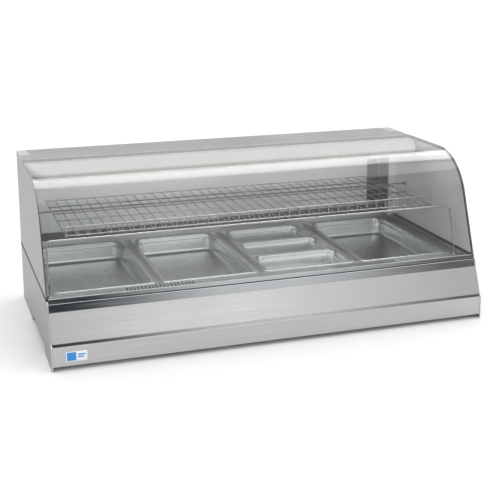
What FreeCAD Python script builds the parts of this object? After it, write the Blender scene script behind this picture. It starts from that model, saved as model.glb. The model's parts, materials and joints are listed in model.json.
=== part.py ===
import FreeCAD, Part

import math
import os

# Hot food display case for a counter: a steel base with a heated well for four pans,
# a tilting curved glass, steel end panels, a lift-out wire rack, a lamp canopy and
# two sliding doors at the operator's side.
#
# Frame in mm: X to the right seen from the customer's side, +Y to the operator, +Z up.
# The origin is on the counter, under the middle of the case. Depths along Y in the
# dimensions below are measured from the front plane, and from_front() moves them.

# ---- overall size
WIDTH = 1450.0
DEPTH = 740.0
HEIGHT = 540.0

# ---- sheet metal and end panels
SHEET = 1.5
END_THICK = 4.0
END_BOTTOM = 1.0             # the end panels stay just clear of the counter
WAIST_LOW = 203.0            # top edge of the lower end panels
WAIST_HIGH = 208.0           # bottom edge of the upper end panels
FOOT_FRONT_END = 160.0
FOOT_REAR_START = 475.0
FOOT_RISE = 23.0
INNER_HALF = WIDTH / 2 - END_THICK
FIT = 0.5                    # gap at the ends of long pieces between the end panels

# ---- front fascia, from the counter upwards
FASCIA_BOTTOM = 14.0
FASCIA_SETBACK = 1.0
LOWER_TOP = 76.0
UPPER_BOTTOM = 82.5
UPPER_BOTTOM_Y = 8.5
UPPER_TOP = 170.5
UPPER_TOP_Y = 43.0
RAIL_TOP = 195.5
RAIL_TOP_Y = 48.5
FASCIA_RETURN = 22.0
REVEAL_DEPTH = 3.0

# ---- curved glass: a leaning front, one round bend and a flat top
GLASS_THICK = 6.0
GLASS_LEAN = math.radians(20.0)
GLASS_FOOT_Y = 60.0          # outer face at the height of the rail's top edge
GLASS_FOOT_Z = 206.5
GLASS_BOTTOM = 194.0
GLASS_SHOULDER = 209.0       # below this the glass is narrow enough for its clamp
GLASS_REAR = 563.0
BEND_RADIUS = 200.0
EDGE_GASKET = 2.0
GLASS_GAP = 0.5
HINGE_Y = 66.0
HINGE_Z = 191.0
HINGE_PIN = 6.0
PIN_CLEARANCE = 0.05
CLAMP_HALF = 719.0
CLAMP_NOSE = (51.5, 197.5)   # depth and height of the clamp's front lip
CLAMP_CREST_Y = 70.0
CLAMP_BACK = 76.0
CLAMP_SHOULDER = 200.0
CLAMP_FRONT = 59.0
CLAMP_BOTTOM = 184.0
PIN_LENGTH = 20.0            # length of each pivot pin inside the clamp

# ---- deck, well and gastronorm pans
DECK_TOP = 186.0
DECK_FRONT = 82.0
DECK_HALF = 719.0
DECK_STEP_Y = 709.0
DECK_FLANGE = 12.0
PAN_WIDTH = 325.0
PAN_LENGTH = 530.0
PAN_THIRD = 176.0
PAN_PITCH = 349.0
PAN_FRONT = 175.0
PAN_DEPTH = 65.0
PAN_RIM = 11.0
PAN_RIM_THICK = 2.0
PAN_WALL = 1.0
PAN_TAPER = 6.0
PAN_CORNER = 40.0
PAN_RIM_CORNER = 14.0
PAN_BOTTOM_ROUND = 16.0
PAN_CLEARANCE = 2.0
PAN_COUNT = 4
BAR_HEIGHT = 8.0
BAR_GROOVE = 12.0
VENT_COUNT = 19
VENT_PITCH = 12.0
VENT_WIDTH = 5.0
VENT_FRONT = 118.0
VENT_LENGTH = 40.0
VENT_X = 354.0
LINER_HALF = 700.0
LINER_FRONT = 94.0
LINER_REAR = 704.0
LINER_BOTTOM = 76.5
BAFFLE_Y = 178.0
BAFFLE_SLOT = (240.0, 26.0)
INSULATION = 25.0
INSULATION_REAR = 640.0

# ---- fans and heating elements
FAN_SIZE = 80.0
FAN_DEPTH = 25.0
FAN_BORE = 76.0
FAN_HUB = 30.0
FAN_SHAFT = 4.0
FAN_BLADES = 7
FAN_BLADE_REACH = 36.0
FAN_SHELF_Z = 140.0
ELEMENT_ROD = 8.0
ELEMENT_HALF = 60.0
ELEMENT_FRONT = 290.0
ELEMENT_TAIL = 711.0
ELEMENT_STAND = 12.0

# ---- wire rack and its supports
SUPPORT_ROD = 7.0
SUPPORT_Z = 349.0
SUPPORT_X = 702.0
SUPPORT_FOOT_Y = 149.0
SUPPORT_TOP_Y = 199.0
SUPPORT_BEND = 14.0
SUPPORT_REAR_Y = 575.0
RACK_HALF = 635.0
RACK_FRONT = 205.0
RACK_REAR = 698.0
RACK_LIP = 27.0
RACK_BEND = 6.0
RACK_WIRE = 3.0
RACK_CROSS = 4.0
RACK_WIRES = 37
RACK_CROSSES = 6
RACK_GAP = 0.3
WELD = 0.1                   # how far welded wires sink into each other

# ---- lamp canopy under the flat of the glass
CANOPY_REAR = 572.0
CANOPY_CREST = 490.0
CANOPY_FRONT = 415.0
CANOPY_TOP = 531.0
CANOPY_DROP = 35.0
CANOPY_LIP = 6.0
CANOPY_SKIN = 2.0
CANOPY_HALF = 687.0
CAP_CORNER = 33.0            # the end caps are round in plan at their outer front corner
LAMP_X = (-430.0, 0.0, 430.0)
LAMP_Y = 510.0
LAMP_Z = 506.0
LAMP_TUBE = 11.0
LAMP_LENGTH = 340.0
HOLDER = (18.0, 26.0, 30.0)

# ---- operator's side: posts, tracks and sliding doors
POST_FRONT = 656.0
POST_LINE = 655.0
POST_WIDTH = 37.0
POST_WALL = 2.5
OPENING_HALF = WIDTH / 2 - POST_WIDTH - FIT
TRACK_FRONT = 709.0
TRACK_Y = (717.0, 731.0)     # middle of the inner and the outer track
TRACK_GROOVE = 7.0
SILL_TOP = 236.0
SILL_GROOVE_Z = 222.0
TOP_RAIL_LOW = 500.0
TOP_GROOVE_Z = 524.0
TOP_RAIL_FRONT = 565.0
TOP_SKIN = 3.0
DOOR_THICK = 5.0
DOOR_BOTTOM = 222.5
DOOR_TOP = 514.0
DOOR_EDGE = 683.0
DOOR_OVERLAP = 15.0
GRIP_X = (632.0, 678.0)
GRIP_Z = (243.0, 420.0)
GRIP_FLANGE = 3.0
GRIP_PROUD = 1.5
PLUG_Y = (643.0, 652.0)
PLUG_Z = (498.0, 532.0)

# ---- rear panel and controls
REAR_PANEL_Y = 715.0
REAR_PANEL_RETURN = 9.0
CONTROL_Z = 46.0
KNOB_X = -600.0
SWITCH_X = {"main_rocker": -530.0, "lamp_rocker": -490.0}
PILOT_X = (-455.0, -430.0)
INLET_X = -650.0
KNOB_RADIUS = 19.0
KNOB_CORE = 12.0
KNOB_SKIRT = 4.0
KNOB_BAR = 8.0
KNOB_DEPTH = 16.0
KNOB_BORE_DEPTH = 13.0
SHAFT = 6.0
THERMOSTAT = (34.0, 32.0, 34.0)
THERMOSTAT_Z = 49.0
SWITCH_FRAME = (15.0, 3.0, 28.0)
SWITCH_CASE = 24.0
SWITCH_FLANGE = 6.0
SWITCH_WELL = 16.0
ROCKER = (11.0, 8.0, 22.0)
ROCKER_TILT = 10.0
ROCKER_GAP = 1.0
ROCKER_PIVOT = 2.0
PILOT_STEM = 5.0
PILOT_LENS = 7.0
PILOT_PROUD = 4.0
PILOT_ROUND = 2.5
STEM_LENGTH = 14.0           # how far pilots and gland reach in behind the panel's outer face
GLAND_STEM = 9.0
GLAND_NUT = (13.0, 8.0)      # radius and length
GLAND_DOME = (10.0, 10.0)
GLAND_BORE = 4.5
TERMINALS = (50.0, 24.0, 20.0)
TERMINALS_Y = 662.0
TERMINAL_PITCH = 17.0
TERMINAL_BORE = 2.5
LOUVRE = (5.0, 60.0)
LOUVRE_COUNT = 16
LOUVRE_PITCH = 14.0
LOUVRE_START = (300.0, 70.0)
SCREW_HEAD = 4.5
SCREW_HEAD_HEIGHT = 2.0
SCREW_SHANK = 2.0
SCREW_REACH = 5.0
SCREW_SLOT = (1.0, 2.0)
SCREW_COLUMNS = 6
SCREW_PITCH = 270.0
SCREW_EDGE = (8.0, 12.0)     # from the lower and the upper edge of the panel

# ---- feet and name plate
FOOT_RADIUS = 20.0
FOOT_X = (-640.0, 0.0, 640.0)
FOOT_Y = (90.0, 650.0)
PLATE = (64.0, 31.0)
PLATE_X = -682.0
PLATE_Z = 28.0
PLATE_THICK = 0.8

OUT = "parts"
AXIS_X = FreeCAD.Vector(1, 0, 0)
AXIS_Z = FreeCAD.Vector(0, 0, 1)


# ---------------------------------------------------------------- shared helpers
def from_front(depth):
    """Y of a place that many millimetres behind the front plane."""
    return depth - DEPTH / 2


def point(x, depth, z):
    return FreeCAD.Vector(x, from_front(depth), z)


def block(x_range, depth_range, z_range):
    """Box between two X, two depths and two heights."""
    size = [high - low for low, high in (x_range, depth_range, z_range)]
    return Part.makeBox(*size, point(x_range[0], depth_range[0], z_range[0]))


def centred(size, x, depth, z):
    """Box of a size around a middle."""
    spans = [(mid - length / 2, mid + length / 2) for mid, length in zip((x, depth, z), size)]
    return block(*spans)


def rod(radius, start, end):
    """Round bar from one point to another."""
    run = end - start
    return Part.makeCylinder(radius, run.Length, start, run)


def along_x(edges, x_range):
    """Closed outline in the YZ plane, drawn out between two X."""
    face = Part.Face(Part.Wire(edges))
    face.translate(FreeCAD.Vector(x_range[0], 0, 0))
    return face.extrude(FreeCAD.Vector(x_range[1] - x_range[0], 0, 0))


def section(corners, x_range):
    """Straight-sided outline of (depth, height) corners, drawn out between two X."""
    points = [point(0, depth, z) for depth, z in corners]
    return along_x(Part.makePolygon(points + points[:1]).Edges, x_range)


def folded_sheet(corners, half_width, thickness=SHEET):
    """Bent sheet: its outer face follows the corners, and it lies on their left."""
    outer = [point(0, depth, z) for depth, z in corners]
    normals = []
    for first, second in zip(outer, outer[1:]):
        normals.append(AXIS_X.cross((second - first).normalize()))
    inner = []
    for place, before, after in zip(outer, normals[:1] + normals, normals + normals[-1:]):
        total = before + after
        inner.append(place + total * (2 * thickness / total.dot(total)))
    ring = outer + inner[::-1]
    return along_x(Part.makePolygon(ring + ring[:1]).Edges, (-half_width, half_width))


def swept_rod(radius, points, bend):
    """Round bar through points in turn, with a bend of one radius at each corner."""
    edges = []
    start = points[0]
    for before, corner, after in zip(points, points[1:], points[2:]):
        back = (before - corner).normalize()
        ahead = (after - corner).normalize()
        half = back.getAngle(ahead) / 2
        reach = bend / math.tan(half)
        middle = (back + ahead).normalize()
        centre = corner + middle * (bend / math.sin(half))
        arc = Part.Arc(corner + back * reach, centre - middle * bend, corner + ahead * reach)
        edges.append(Part.LineSegment(start, corner + back * reach).toShape())
        edges.append(arc.toShape())
        start = corner + ahead * reach
    edges.append(Part.LineSegment(start, points[-1]).toShape())
    path = Part.Wire(edges)
    circle = Part.Wire(Part.makeCircle(radius, points[0], points[1] - points[0]))
    return path.makePipeShell([circle], True, False)


def rounded_rectangle(width, length, radius, z):
    """Wire with round corners about the origin at one height."""
    face = Part.makeBox(width, length, 1, FreeCAD.Vector(-width / 2, -length / 2, z))
    upright = [edge for edge in face.Edges if abs(edge.tangentAt(0).z) > 0.5]
    rounded = face.makeFillet(radius, upright)
    bottom = min(rounded.Faces, key=lambda side: side.CenterOfMass.z)
    return bottom.OuterWire


def mirrored(shape):
    """The same piece on the other side of the case."""
    return shape.mirror(FreeCAD.Vector(0, 0, 0), AXIS_X)


def save(name, shapes):
    """Write one node, a single solid or a group of separate ones."""
    solids = [solid for shape in shapes for solid in shape.Solids]
    for solid in solids:
        assert solid.isValid() and solid.Volume > 0, name
    shape = solids[0] if len(solids) == 1 else Part.makeCompound(solids)
    shape.exportStep(os.path.join(OUT, name + ".step"))


# ---------------------------------------------------------------- glass profile
def lean_y(z, inset):
    """Depth of the leaning front at a height, that far inside the glass's outer face."""
    return GLASS_FOOT_Y + (z - GLASS_FOOT_Z) * math.tan(GLASS_LEAN) + inset / math.cos(GLASS_LEAN)


BEND_Z = HEIGHT - BEND_RADIUS
BEND_START_Z = BEND_Z + BEND_RADIUS * math.sin(GLASS_LEAN)
BEND_Y = lean_y(BEND_START_Z, 0) + BEND_RADIUS * math.cos(GLASS_LEAN)


def bend_point(inset, turn):
    """Point of the bend, turn going from 0 at the leaning front to 1 at the flat top."""
    angle = math.pi - GLASS_LEAN - turn * (math.pi / 2 - GLASS_LEAN)
    radius = BEND_RADIUS - inset
    return point(0, BEND_Y + radius * math.cos(angle), BEND_Z + radius * math.sin(angle))


def glass_line(inset, foot_z, rear):
    """Edges from the foot up the front, round the bend and along the top."""
    foot = point(0, lean_y(foot_z, inset), foot_z)
    start, middle, end = [bend_point(inset, turn) for turn in (0, 0.5, 1)]
    last = point(0, rear, HEIGHT - inset)
    front = Part.LineSegment(foot, start).toShape()
    bend = Part.Arc(start, middle, end).toShape()
    top = Part.LineSegment(end, last).toShape()
    return [front, bend, top], foot, last


def curved_skin(inset, thickness, foot_z, rear, x_range):
    """Skin of even thickness that follows the glass."""
    outer, outer_foot, outer_last = glass_line(inset, foot_z, rear)
    inner, inner_foot, inner_last = glass_line(inset + thickness, foot_z, rear)
    rear_edge = Part.LineSegment(outer_last, inner_last).toShape()
    foot_edge = Part.LineSegment(inner_foot, outer_foot).toShape()
    return along_x(outer + [rear_edge] + inner[::-1] + [foot_edge], x_range)


# ---------------------------------------------------------------- casing
def lower_end_panel():
    """Right lower end panel, cut away between its two feet."""
    corners = [
        (0, END_BOTTOM), (0, LOWER_TOP), (UPPER_BOTTOM_Y, UPPER_BOTTOM), (UPPER_TOP_Y, UPPER_TOP),
        (RAIL_TOP_Y, RAIL_TOP), (GLASS_FOOT_Y - END_THICK, WAIST_LOW), (DEPTH, WAIST_LOW),
        (DEPTH, END_BOTTOM), (FOOT_REAR_START, END_BOTTOM), (FOOT_REAR_START, FOOT_RISE),
        (FOOT_FRONT_END, FOOT_RISE), (FOOT_FRONT_END, END_BOTTOM),
    ]
    plate = section(corners, (INNER_HALF, WIDTH / 2))
    hole_start = point(INNER_HALF - 1, HINGE_Y, HINGE_Z)
    hole_end = point(WIDTH / 2 + 1, HINGE_Y, HINGE_Z)
    return plate.cut(rod(HINGE_PIN / 2 + PIN_CLEARANCE, hole_start, hole_end))


def upper_end_panel():
    """Right upper end panel behind the glass, with a slot for the dark plug."""
    inset = GLASS_THICK + GLASS_GAP + EDGE_GASKET
    line, foot, last = glass_line(inset, WAIST_HIGH, TOP_RAIL_FRONT)
    corners = [last, point(0, TOP_RAIL_FRONT, HEIGHT), point(0, POST_LINE, HEIGHT)]
    corners += [point(0, POST_LINE, WAIST_HIGH), foot]
    plate = along_x(line + Part.makePolygon(corners).Edges, (INNER_HALF, WIDTH / 2))
    return plate.cut(block((0, WIDTH), PLUG_Y, PLUG_Z))


def end_plug():
    """Dark plug that closes the slot near the top of the upper end panel."""
    return block((INNER_HALF, WIDTH / 2 - FIT), PLUG_Y, PLUG_Z)


def waist_gasket():
    """Dark seal between the lower and the upper end panel, with a lip on the inside."""
    start = 72.0
    lip = 7.0
    web = block((INNER_HALF, WIDTH / 2 - FIT), (start, DEPTH), (WAIST_LOW, WAIST_HIGH))
    inner_lip = block((INNER_HALF - SHEET, INNER_HALF), (start, DEPTH), (WAIST_LOW - lip, WAIST_HIGH))
    return web.fuse(inner_lip).removeSplitter()


def base_tray():
    """Bottom of the base, with its front edge turned up."""
    floor = FASCIA_BOTTOM + SHEET
    front = FASCIA_SETBACK + SHEET
    turn_up = 18.0
    corners = [(front, floor + turn_up), (front, floor), (REAR_PANEL_Y, floor)]
    return folded_sheet(corners, INNER_HALF)


def rubber_feet():
    """Six round feet under the base tray."""
    top = FASCIA_BOTTOM + SHEET
    chamfer = 2.0
    feet = []
    for x in FOOT_X:
        for depth in FOOT_Y:
            foot = Part.makeCylinder(FOOT_RADIUS, top, point(x, depth, 0))
            rim = [edge for edge in foot.Edges if edge.CenterOfMass.z < 1 and edge.Closed]
            feet.append(foot.makeChamfer(chamfer, rim))
    return feet


def front_panel_lower():
    deep = FASCIA_SETBACK + FASCIA_RETURN
    corners = [(deep, LOWER_TOP), (FASCIA_SETBACK, LOWER_TOP)]
    corners += [(FASCIA_SETBACK, FASCIA_BOTTOM), (deep, FASCIA_BOTTOM)]
    return folded_sheet(corners, INNER_HALF)


def front_reveal_strip():
    """Dark strip at the back of the groove between the two front panels."""
    front = UPPER_BOTTOM_Y + REVEAL_DEPTH
    return block((-INNER_HALF, INNER_HALF), (front, front + REVEAL_DEPTH), (LOWER_TOP, UPPER_BOTTOM))


def front_panel_upper():
    corners = [(UPPER_TOP_Y + FASCIA_RETURN, UPPER_TOP), (UPPER_TOP_Y, UPPER_TOP)]
    corners += [(UPPER_BOTTOM_Y, UPPER_BOTTOM), (UPPER_BOTTOM_Y + FASCIA_RETURN, UPPER_BOTTOM)]
    return folded_sheet(corners, INNER_HALF)


def front_rail():
    """Polished rail above the upper front panel."""
    corners = [(RAIL_TOP_Y, RAIL_TOP), (UPPER_TOP_Y, UPPER_TOP)]
    corners += [(UPPER_TOP_Y + FASCIA_RETURN, UPPER_TOP)]
    return folded_sheet(corners, INNER_HALF)


def name_plate():
    """Plain plate low on the front."""
    return block((PLATE_X, PLATE_X + PLATE[0]), (FASCIA_SETBACK - PLATE_THICK, FASCIA_SETBACK),
                 (PLATE_Z, PLATE_Z + PLATE[1]))


# ---------------------------------------------------------------- tilting glass
def curved_glass():
    """One bent pane, with its lower corners cut narrower to sit in the clamp."""
    pane = curved_skin(0, GLASS_THICK, GLASS_BOTTOM, GLASS_REAR, (-WIDTH / 2, WIDTH / 2))
    corner = block((CLAMP_HALF, WIDTH), (0, DEPTH / 2), (0, GLASS_SHOULDER))
    return pane.cut(corner).cut(mirrored(corner))


def hinge_pin():
    """Pivot pin at the right end of the glass clamp."""
    start = point(CLAMP_HALF - PIN_LENGTH, HINGE_Y, HINGE_Z)
    return rod(HINGE_PIN / 2, start, point(WIDTH / 2 - FIT, HINGE_Y, HINGE_Z))


def glass_clamp_rail(glass, pins):
    """Rail that grips the lower edge of the glass and turns on the hinge pins."""
    corners = [
        CLAMP_NOSE, (GLASS_FOOT_Y - 1, GLASS_FOOT_Z), (CLAMP_CREST_Y, GLASS_FOOT_Z),
        (CLAMP_BACK, CLAMP_SHOULDER), (CLAMP_BACK, CLAMP_BOTTOM), (CLAMP_FRONT, CLAMP_BOTTOM),
    ]
    rail = section(corners, (-CLAMP_HALF, CLAMP_HALF)).cut(glass)
    for pin in pins:
        rail = rail.cut(pin)
    return rail


def edge_gasket():
    """Dark seal on the curved edge of the right upper end panel."""
    inset = GLASS_THICK + GLASS_GAP
    return curved_skin(inset, EDGE_GASKET, WAIST_HIGH, GLASS_REAR, (INNER_HALF, WIDTH / 2))


# ---------------------------------------------------------------- deck and well
def pan_x(position):
    """Middle of one of the four pan positions, counted from the left."""
    return (position - (PAN_COUNT - 1) / 2) * PAN_PITCH


WELL_HALF = pan_x(PAN_COUNT - 1) + PAN_WIDTH / 2 - PAN_RIM + PAN_CLEARANCE
WELL_FRONT = PAN_FRONT + PAN_RIM - PAN_CLEARANCE
WELL_REAR = PAN_FRONT + PAN_LENGTH - PAN_RIM + PAN_CLEARANCE
BAR_WIDTH = PAN_PITCH - PAN_WIDTH + 2 * (PAN_RIM - PAN_CLEARANCE)


def vent_slot(x):
    """Round-ended slot that runs from front to back."""
    radius = VENT_WIDTH / 2
    low, high = DECK_TOP - 5, DECK_TOP + 5
    straight = block((x - radius, x + radius), (VENT_FRONT, VENT_FRONT + VENT_LENGTH), (low, high))
    ends = [Part.makeCylinder(radius, high - low, point(x, depth, low))
            for depth in (VENT_FRONT, VENT_FRONT + VENT_LENGTH)]
    return straight.fuse(ends)


def deck_plate():
    """Deck round the well, with vents in front and a step at the back for the posts."""
    corners = [
        (DEPTH, WAIST_HIGH - DECK_FLANGE), (DEPTH, WAIST_HIGH), (DECK_STEP_Y, WAIST_HIGH),
        (DECK_STEP_Y, DECK_TOP), (DECK_FRONT, DECK_TOP), (DECK_FRONT, DECK_TOP - DECK_FLANGE),
    ]
    plate = folded_sheet(corners, DECK_HALF)
    well = block((-WELL_HALF, WELL_HALF), (WELL_FRONT, WELL_REAR), (DECK_TOP - 5, DECK_TOP + 5))
    slots = []
    for group in (-VENT_X, VENT_X):
        for index in range(VENT_COUNT):
            slots.append(vent_slot(group + (index - (VENT_COUNT - 1) / 2) * VENT_PITCH))
    return plate.cut([well] + slots)


def divider_bars():
    """Three long bars between the pans and two short ones between the small pans."""
    low = DECK_TOP - BAR_HEIGHT
    bars = []
    for position in range(PAN_COUNT - 1):
        x = (pan_x(position) + pan_x(position + 1)) / 2
        bar = block((x - BAR_WIDTH / 2, x + BAR_WIDTH / 2), (WELL_FRONT, WELL_REAR), (low, DECK_TOP))
        groove = block((x - BAR_GROOVE / 2, x + BAR_GROOVE / 2), (WELL_FRONT, WELL_REAR),
                       (DECK_TOP - BAR_HEIGHT / 2, DECK_TOP + 1))
        bars.append(bar.cut(groove))
    half = (PAN_PITCH - BAR_WIDTH) / 2
    small_half = PAN_RIM - PAN_CLEARANCE
    for count in (1, 2):
        depth = PAN_FRONT + count * PAN_LENGTH / 3
        bars.append(block((pan_x(2) - half, pan_x(2) + half), (depth - small_half, depth + small_half),
                          (low, DECK_TOP)))
    return bars


def heating_element(position):
    """Hairpin heating rod under one pan, its two tails going out at the back."""
    x = pan_x(position)
    z = LINER_BOTTOM + SHEET + ELEMENT_STAND + ELEMENT_ROD / 2
    start = point(x - ELEMENT_HALF, ELEMENT_TAIL, z)
    end = point(x + ELEMENT_HALF, ELEMENT_TAIL, z)
    left = point(x - ELEMENT_HALF, ELEMENT_FRONT, z)
    right = point(x + ELEMENT_HALF, ELEMENT_FRONT, z)
    tip = point(x, ELEMENT_FRONT - ELEMENT_HALF, z)
    edges = [Part.LineSegment(start, left).toShape(), Part.Arc(left, tip, right).toShape(),
             Part.LineSegment(right, end).toShape()]
    circle = Part.Wire(Part.makeCircle(ELEMENT_ROD / 2, start, left - start))
    return Part.Wire(edges).makePipeShell([circle], True, False)


def element_stands():
    """Two cross bars under each heating rod."""
    low = LINER_BOTTOM + SHEET
    stands = []
    for position in range(PAN_COUNT):
        for depth in (ELEMENT_FRONT + 30, ELEMENT_TAIL - 60):
            size = (2 * ELEMENT_HALF + 30, ELEMENT_STAND, ELEMENT_STAND)
            stands.append(centred(size, pan_x(position), depth, low + ELEMENT_STAND / 2))
    return stands


def well_liner(elements):
    """Box of butted sheets under the deck that holds the hot air: a floor and four walls."""
    low = LINER_BOTTOM + SHEET
    walls = (low, DECK_TOP - SHEET)
    whole = (-LINER_HALF, LINER_HALF)
    floor = block(whole, (LINER_FRONT, LINER_REAR), (LINER_BOTTOM, low))
    front = block(whole, (LINER_FRONT, LINER_FRONT + SHEET), walls)
    rear = block(whole, (LINER_REAR - SHEET, LINER_REAR), walls).cut(elements)
    right = block((LINER_HALF - SHEET, LINER_HALF), (LINER_FRONT + SHEET, LINER_REAR - SHEET), walls)
    return [floor, front, rear, mirrored(right), right]


def air_baffle():
    """Upright plate between the fan duct and the pans: butted strips around a row of slots."""
    half = LINER_HALF - SHEET
    depth = (BAFFLE_Y, BAFFLE_Y + SHEET)
    width, height = BAFFLE_SLOT
    low = LINER_BOTTOM + SHEET
    slot_low = low + height / 2
    slot_high = slot_low + height
    strips = [
        block((-half, half), depth, (low, slot_low)),
        block((-half, half), depth, (slot_high, DECK_TOP - SHEET)),
    ]
    edges = [-half]
    for position in range(PAN_COUNT):
        edges += [pan_x(position) - width / 2, pan_x(position) + width / 2]
    edges.append(half)
    for start, end in zip(edges[::2], edges[1::2]):
        strips.append(block((start, end), depth, (slot_low, slot_high)))
    return strips


def fan_centre(side):
    return side * VENT_X, (LINER_FRONT + SHEET + BAFFLE_Y) / 2


def fan_shelf():
    """Flat plate across the duct that carries both fans."""
    half = LINER_HALF - SHEET
    plate = block((-half, half), (LINER_FRONT + SHEET, BAFFLE_Y), (FAN_SHELF_Z, FAN_SHELF_Z + SHEET))
    holes = []
    for side in (-1, 1):
        x, depth = fan_centre(side)
        holes.append(Part.makeCylinder(FAN_BORE / 2, 10, point(x, depth, FAN_SHELF_Z - 5)))
    return plate.cut(holes)


def fan_frame(side):
    """Square fan housing with four spokes, the motor plate and the shaft."""
    x, depth = fan_centre(side)
    low = FAN_SHELF_Z - FAN_DEPTH
    spoke = 3.0
    frame = centred((FAN_SIZE, FAN_SIZE, FAN_DEPTH), x, depth, low + FAN_DEPTH / 2)
    frame = frame.cut(Part.makeCylinder(FAN_BORE / 2, FAN_DEPTH + 2, point(x, depth, low - 1)))
    spokes = [centred((FAN_SIZE - 2, spoke, spoke), x, depth, low + spoke / 2),
              centred((spoke, FAN_SIZE - 2, spoke), x, depth, low + spoke / 2)]
    motor = Part.makeCylinder(FAN_HUB / 2, spoke, point(x, depth, low))
    shaft = Part.makeCylinder(FAN_SHAFT / 2, FAN_DEPTH - 6, point(x, depth, low))
    return frame.fuse(spokes + [motor, shaft]).removeSplitter()


def fan_rotor(side):
    """Hub with slanted blades, turning on the shaft of its frame."""
    x, depth = fan_centre(side)
    low = FAN_SHELF_Z - FAN_DEPTH + 4
    height = FAN_DEPTH - 8
    blade_thick = 1.6
    pitch_angle = 35.0
    hub = Part.makeCylinder(FAN_HUB / 2, height, point(x, depth, low))
    blades = []
    for index in range(FAN_BLADES):
        blade = centred((FAN_BLADE_REACH - FAN_HUB / 2 + 3, blade_thick, height - 3),
                        x + (FAN_BLADE_REACH + FAN_HUB / 2 - 3) / 2, depth, low + height / 2)
        blade.rotate(point(x, depth, low + height / 2), AXIS_X, pitch_angle)
        blade.rotate(point(x, depth, low), AXIS_Z, 360.0 * index / FAN_BLADES)
        blades.append(blade)
    bore = Part.makeCylinder(FAN_SHAFT / 2 + PIN_CLEARANCE, height, point(x, depth, low - 1))
    sweep = Part.makeCylinder(FAN_BLADE_REACH, height, point(x, depth, low))
    return hub.fuse(blades).common(sweep).cut(bore).removeSplitter()


def gastronorm_pan(width, length):
    """Stepped pan about the origin, its rim resting at height zero."""
    def bowl(inset, depth):
        loft = []
        for taper, z in ((0, 0), (PAN_TAPER, -depth)):
            reach = PAN_RIM + inset + taper
            loft.append(rounded_rectangle(width - 2 * reach, length - 2 * reach,
                                          PAN_CORNER - inset - taper, z))
        body = Part.makeLoft(loft, True)
        floor = min(body.Faces, key=lambda side: side.CenterOfMass.z)
        return body.makeFillet(PAN_BOTTOM_ROUND - inset, floor.Edges)

    rim_outline = rounded_rectangle(width, length, PAN_RIM_CORNER, 0)
    rim = Part.Face(rim_outline).extrude(AXIS_Z * PAN_RIM_THICK)
    inside = bowl(PAN_WALL, PAN_DEPTH - PAN_WALL)
    mouth = rounded_rectangle(width - 2 * (PAN_RIM + PAN_WALL), length - 2 * (PAN_RIM + PAN_WALL),
                              PAN_CORNER - PAN_WALL, 0)
    opening = Part.Face(mouth).extrude(AXIS_Z * PAN_RIM_THICK)
    return rim.fuse(bowl(0, PAN_DEPTH)).cut([inside, opening]).removeSplitter()


def pans():
    """Three full-size pans, and three third-size ones in the third position."""
    placed = {}
    full = gastronorm_pan(PAN_WIDTH, PAN_LENGTH)
    for position in (0, 1, 3):
        middle = point(pan_x(position), PAN_FRONT + PAN_LENGTH / 2, DECK_TOP)
        placed["pan_%d" % (position + 1)] = full.translated(middle)
    third = gastronorm_pan(PAN_WIDTH, PAN_THIRD)
    for index, place in enumerate(("front", "middle", "rear")):
        middle = point(pan_x(2), PAN_FRONT + (index + 0.5) * PAN_LENGTH / 3, DECK_TOP)
        placed["pan_3_" + place] = third.translated(middle)
    return placed


# ---------------------------------------------------------------- rack and lamps
def rack_support_front():
    """Bent rod that stands on the deck on two leaning legs with round foot plates."""
    foot_radius = 9.0
    foot_thick = 2.0
    places = [(-SUPPORT_X, SUPPORT_FOOT_Y, DECK_TOP), (-SUPPORT_X, SUPPORT_TOP_Y, SUPPORT_Z),
              (SUPPORT_X, SUPPORT_TOP_Y, SUPPORT_Z), (SUPPORT_X, SUPPORT_FOOT_Y, DECK_TOP)]
    support = swept_rod(SUPPORT_ROD / 2, [point(*place) for place in places], SUPPORT_BEND)
    support = support.cut(block((-WIDTH, WIDTH), (0, DEPTH), (0, DECK_TOP)))
    feet = [Part.makeCylinder(foot_radius, foot_thick, point(x, SUPPORT_FOOT_Y, DECK_TOP))
            for x in (-SUPPORT_X, SUPPORT_X)]
    return support.fuse(feet).removeSplitter()


def rack_support_rear():
    """Straight rod between two round bosses on the end panels."""
    boss_radius = 8.0
    boss_thick = 5.0
    ends = [point(x, SUPPORT_REAR_Y, SUPPORT_Z) for x in (-INNER_HALF, INNER_HALF)]
    bosses = [Part.makeCylinder(boss_radius, boss_thick, ends[0], AXIS_X),
              Part.makeCylinder(boss_radius, boss_thick, ends[1], -AXIS_X)]
    return rod(SUPPORT_ROD / 2, *ends).fuse(bosses).removeSplitter()


def wire_rack():
    """Wires from back to front, turned up into a lip, welded under the cross wires."""
    wire_z = SUPPORT_Z + SUPPORT_ROD / 2 + RACK_GAP + RACK_WIRE / 2
    cross_z = wire_z + (RACK_WIRE + RACK_CROSS) / 2 - WELD
    lip_z = wire_z + RACK_LIP
    wires = []
    for index in range(RACK_WIRES):
        x = RACK_HALF * (2 * index / (RACK_WIRES - 1) - 1)
        route = [point(x, RACK_REAR + RACK_CROSS, wire_z), point(x, RACK_FRONT, wire_z),
                 point(x, RACK_FRONT, lip_z)]
        wires.append(swept_rod(RACK_WIRE / 2, route, RACK_BEND))
    reach = RACK_HALF + RACK_CROSS
    first = RACK_FRONT + RACK_BEND + RACK_CROSS
    for index in range(RACK_CROSSES):
        depth = first + (RACK_REAR - first) * index / (RACK_CROSSES - 1)
        wires.append(rod(RACK_CROSS / 2, point(-reach, depth, cross_z), point(reach, depth, cross_z)))
    behind = RACK_FRONT + (RACK_WIRE + RACK_CROSS) / 2 - WELD
    top_z = lip_z - RACK_CROSS / 2
    wires.append(rod(RACK_CROSS / 2, point(-reach, behind, top_z), point(reach, behind, top_z)))
    return wires


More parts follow.
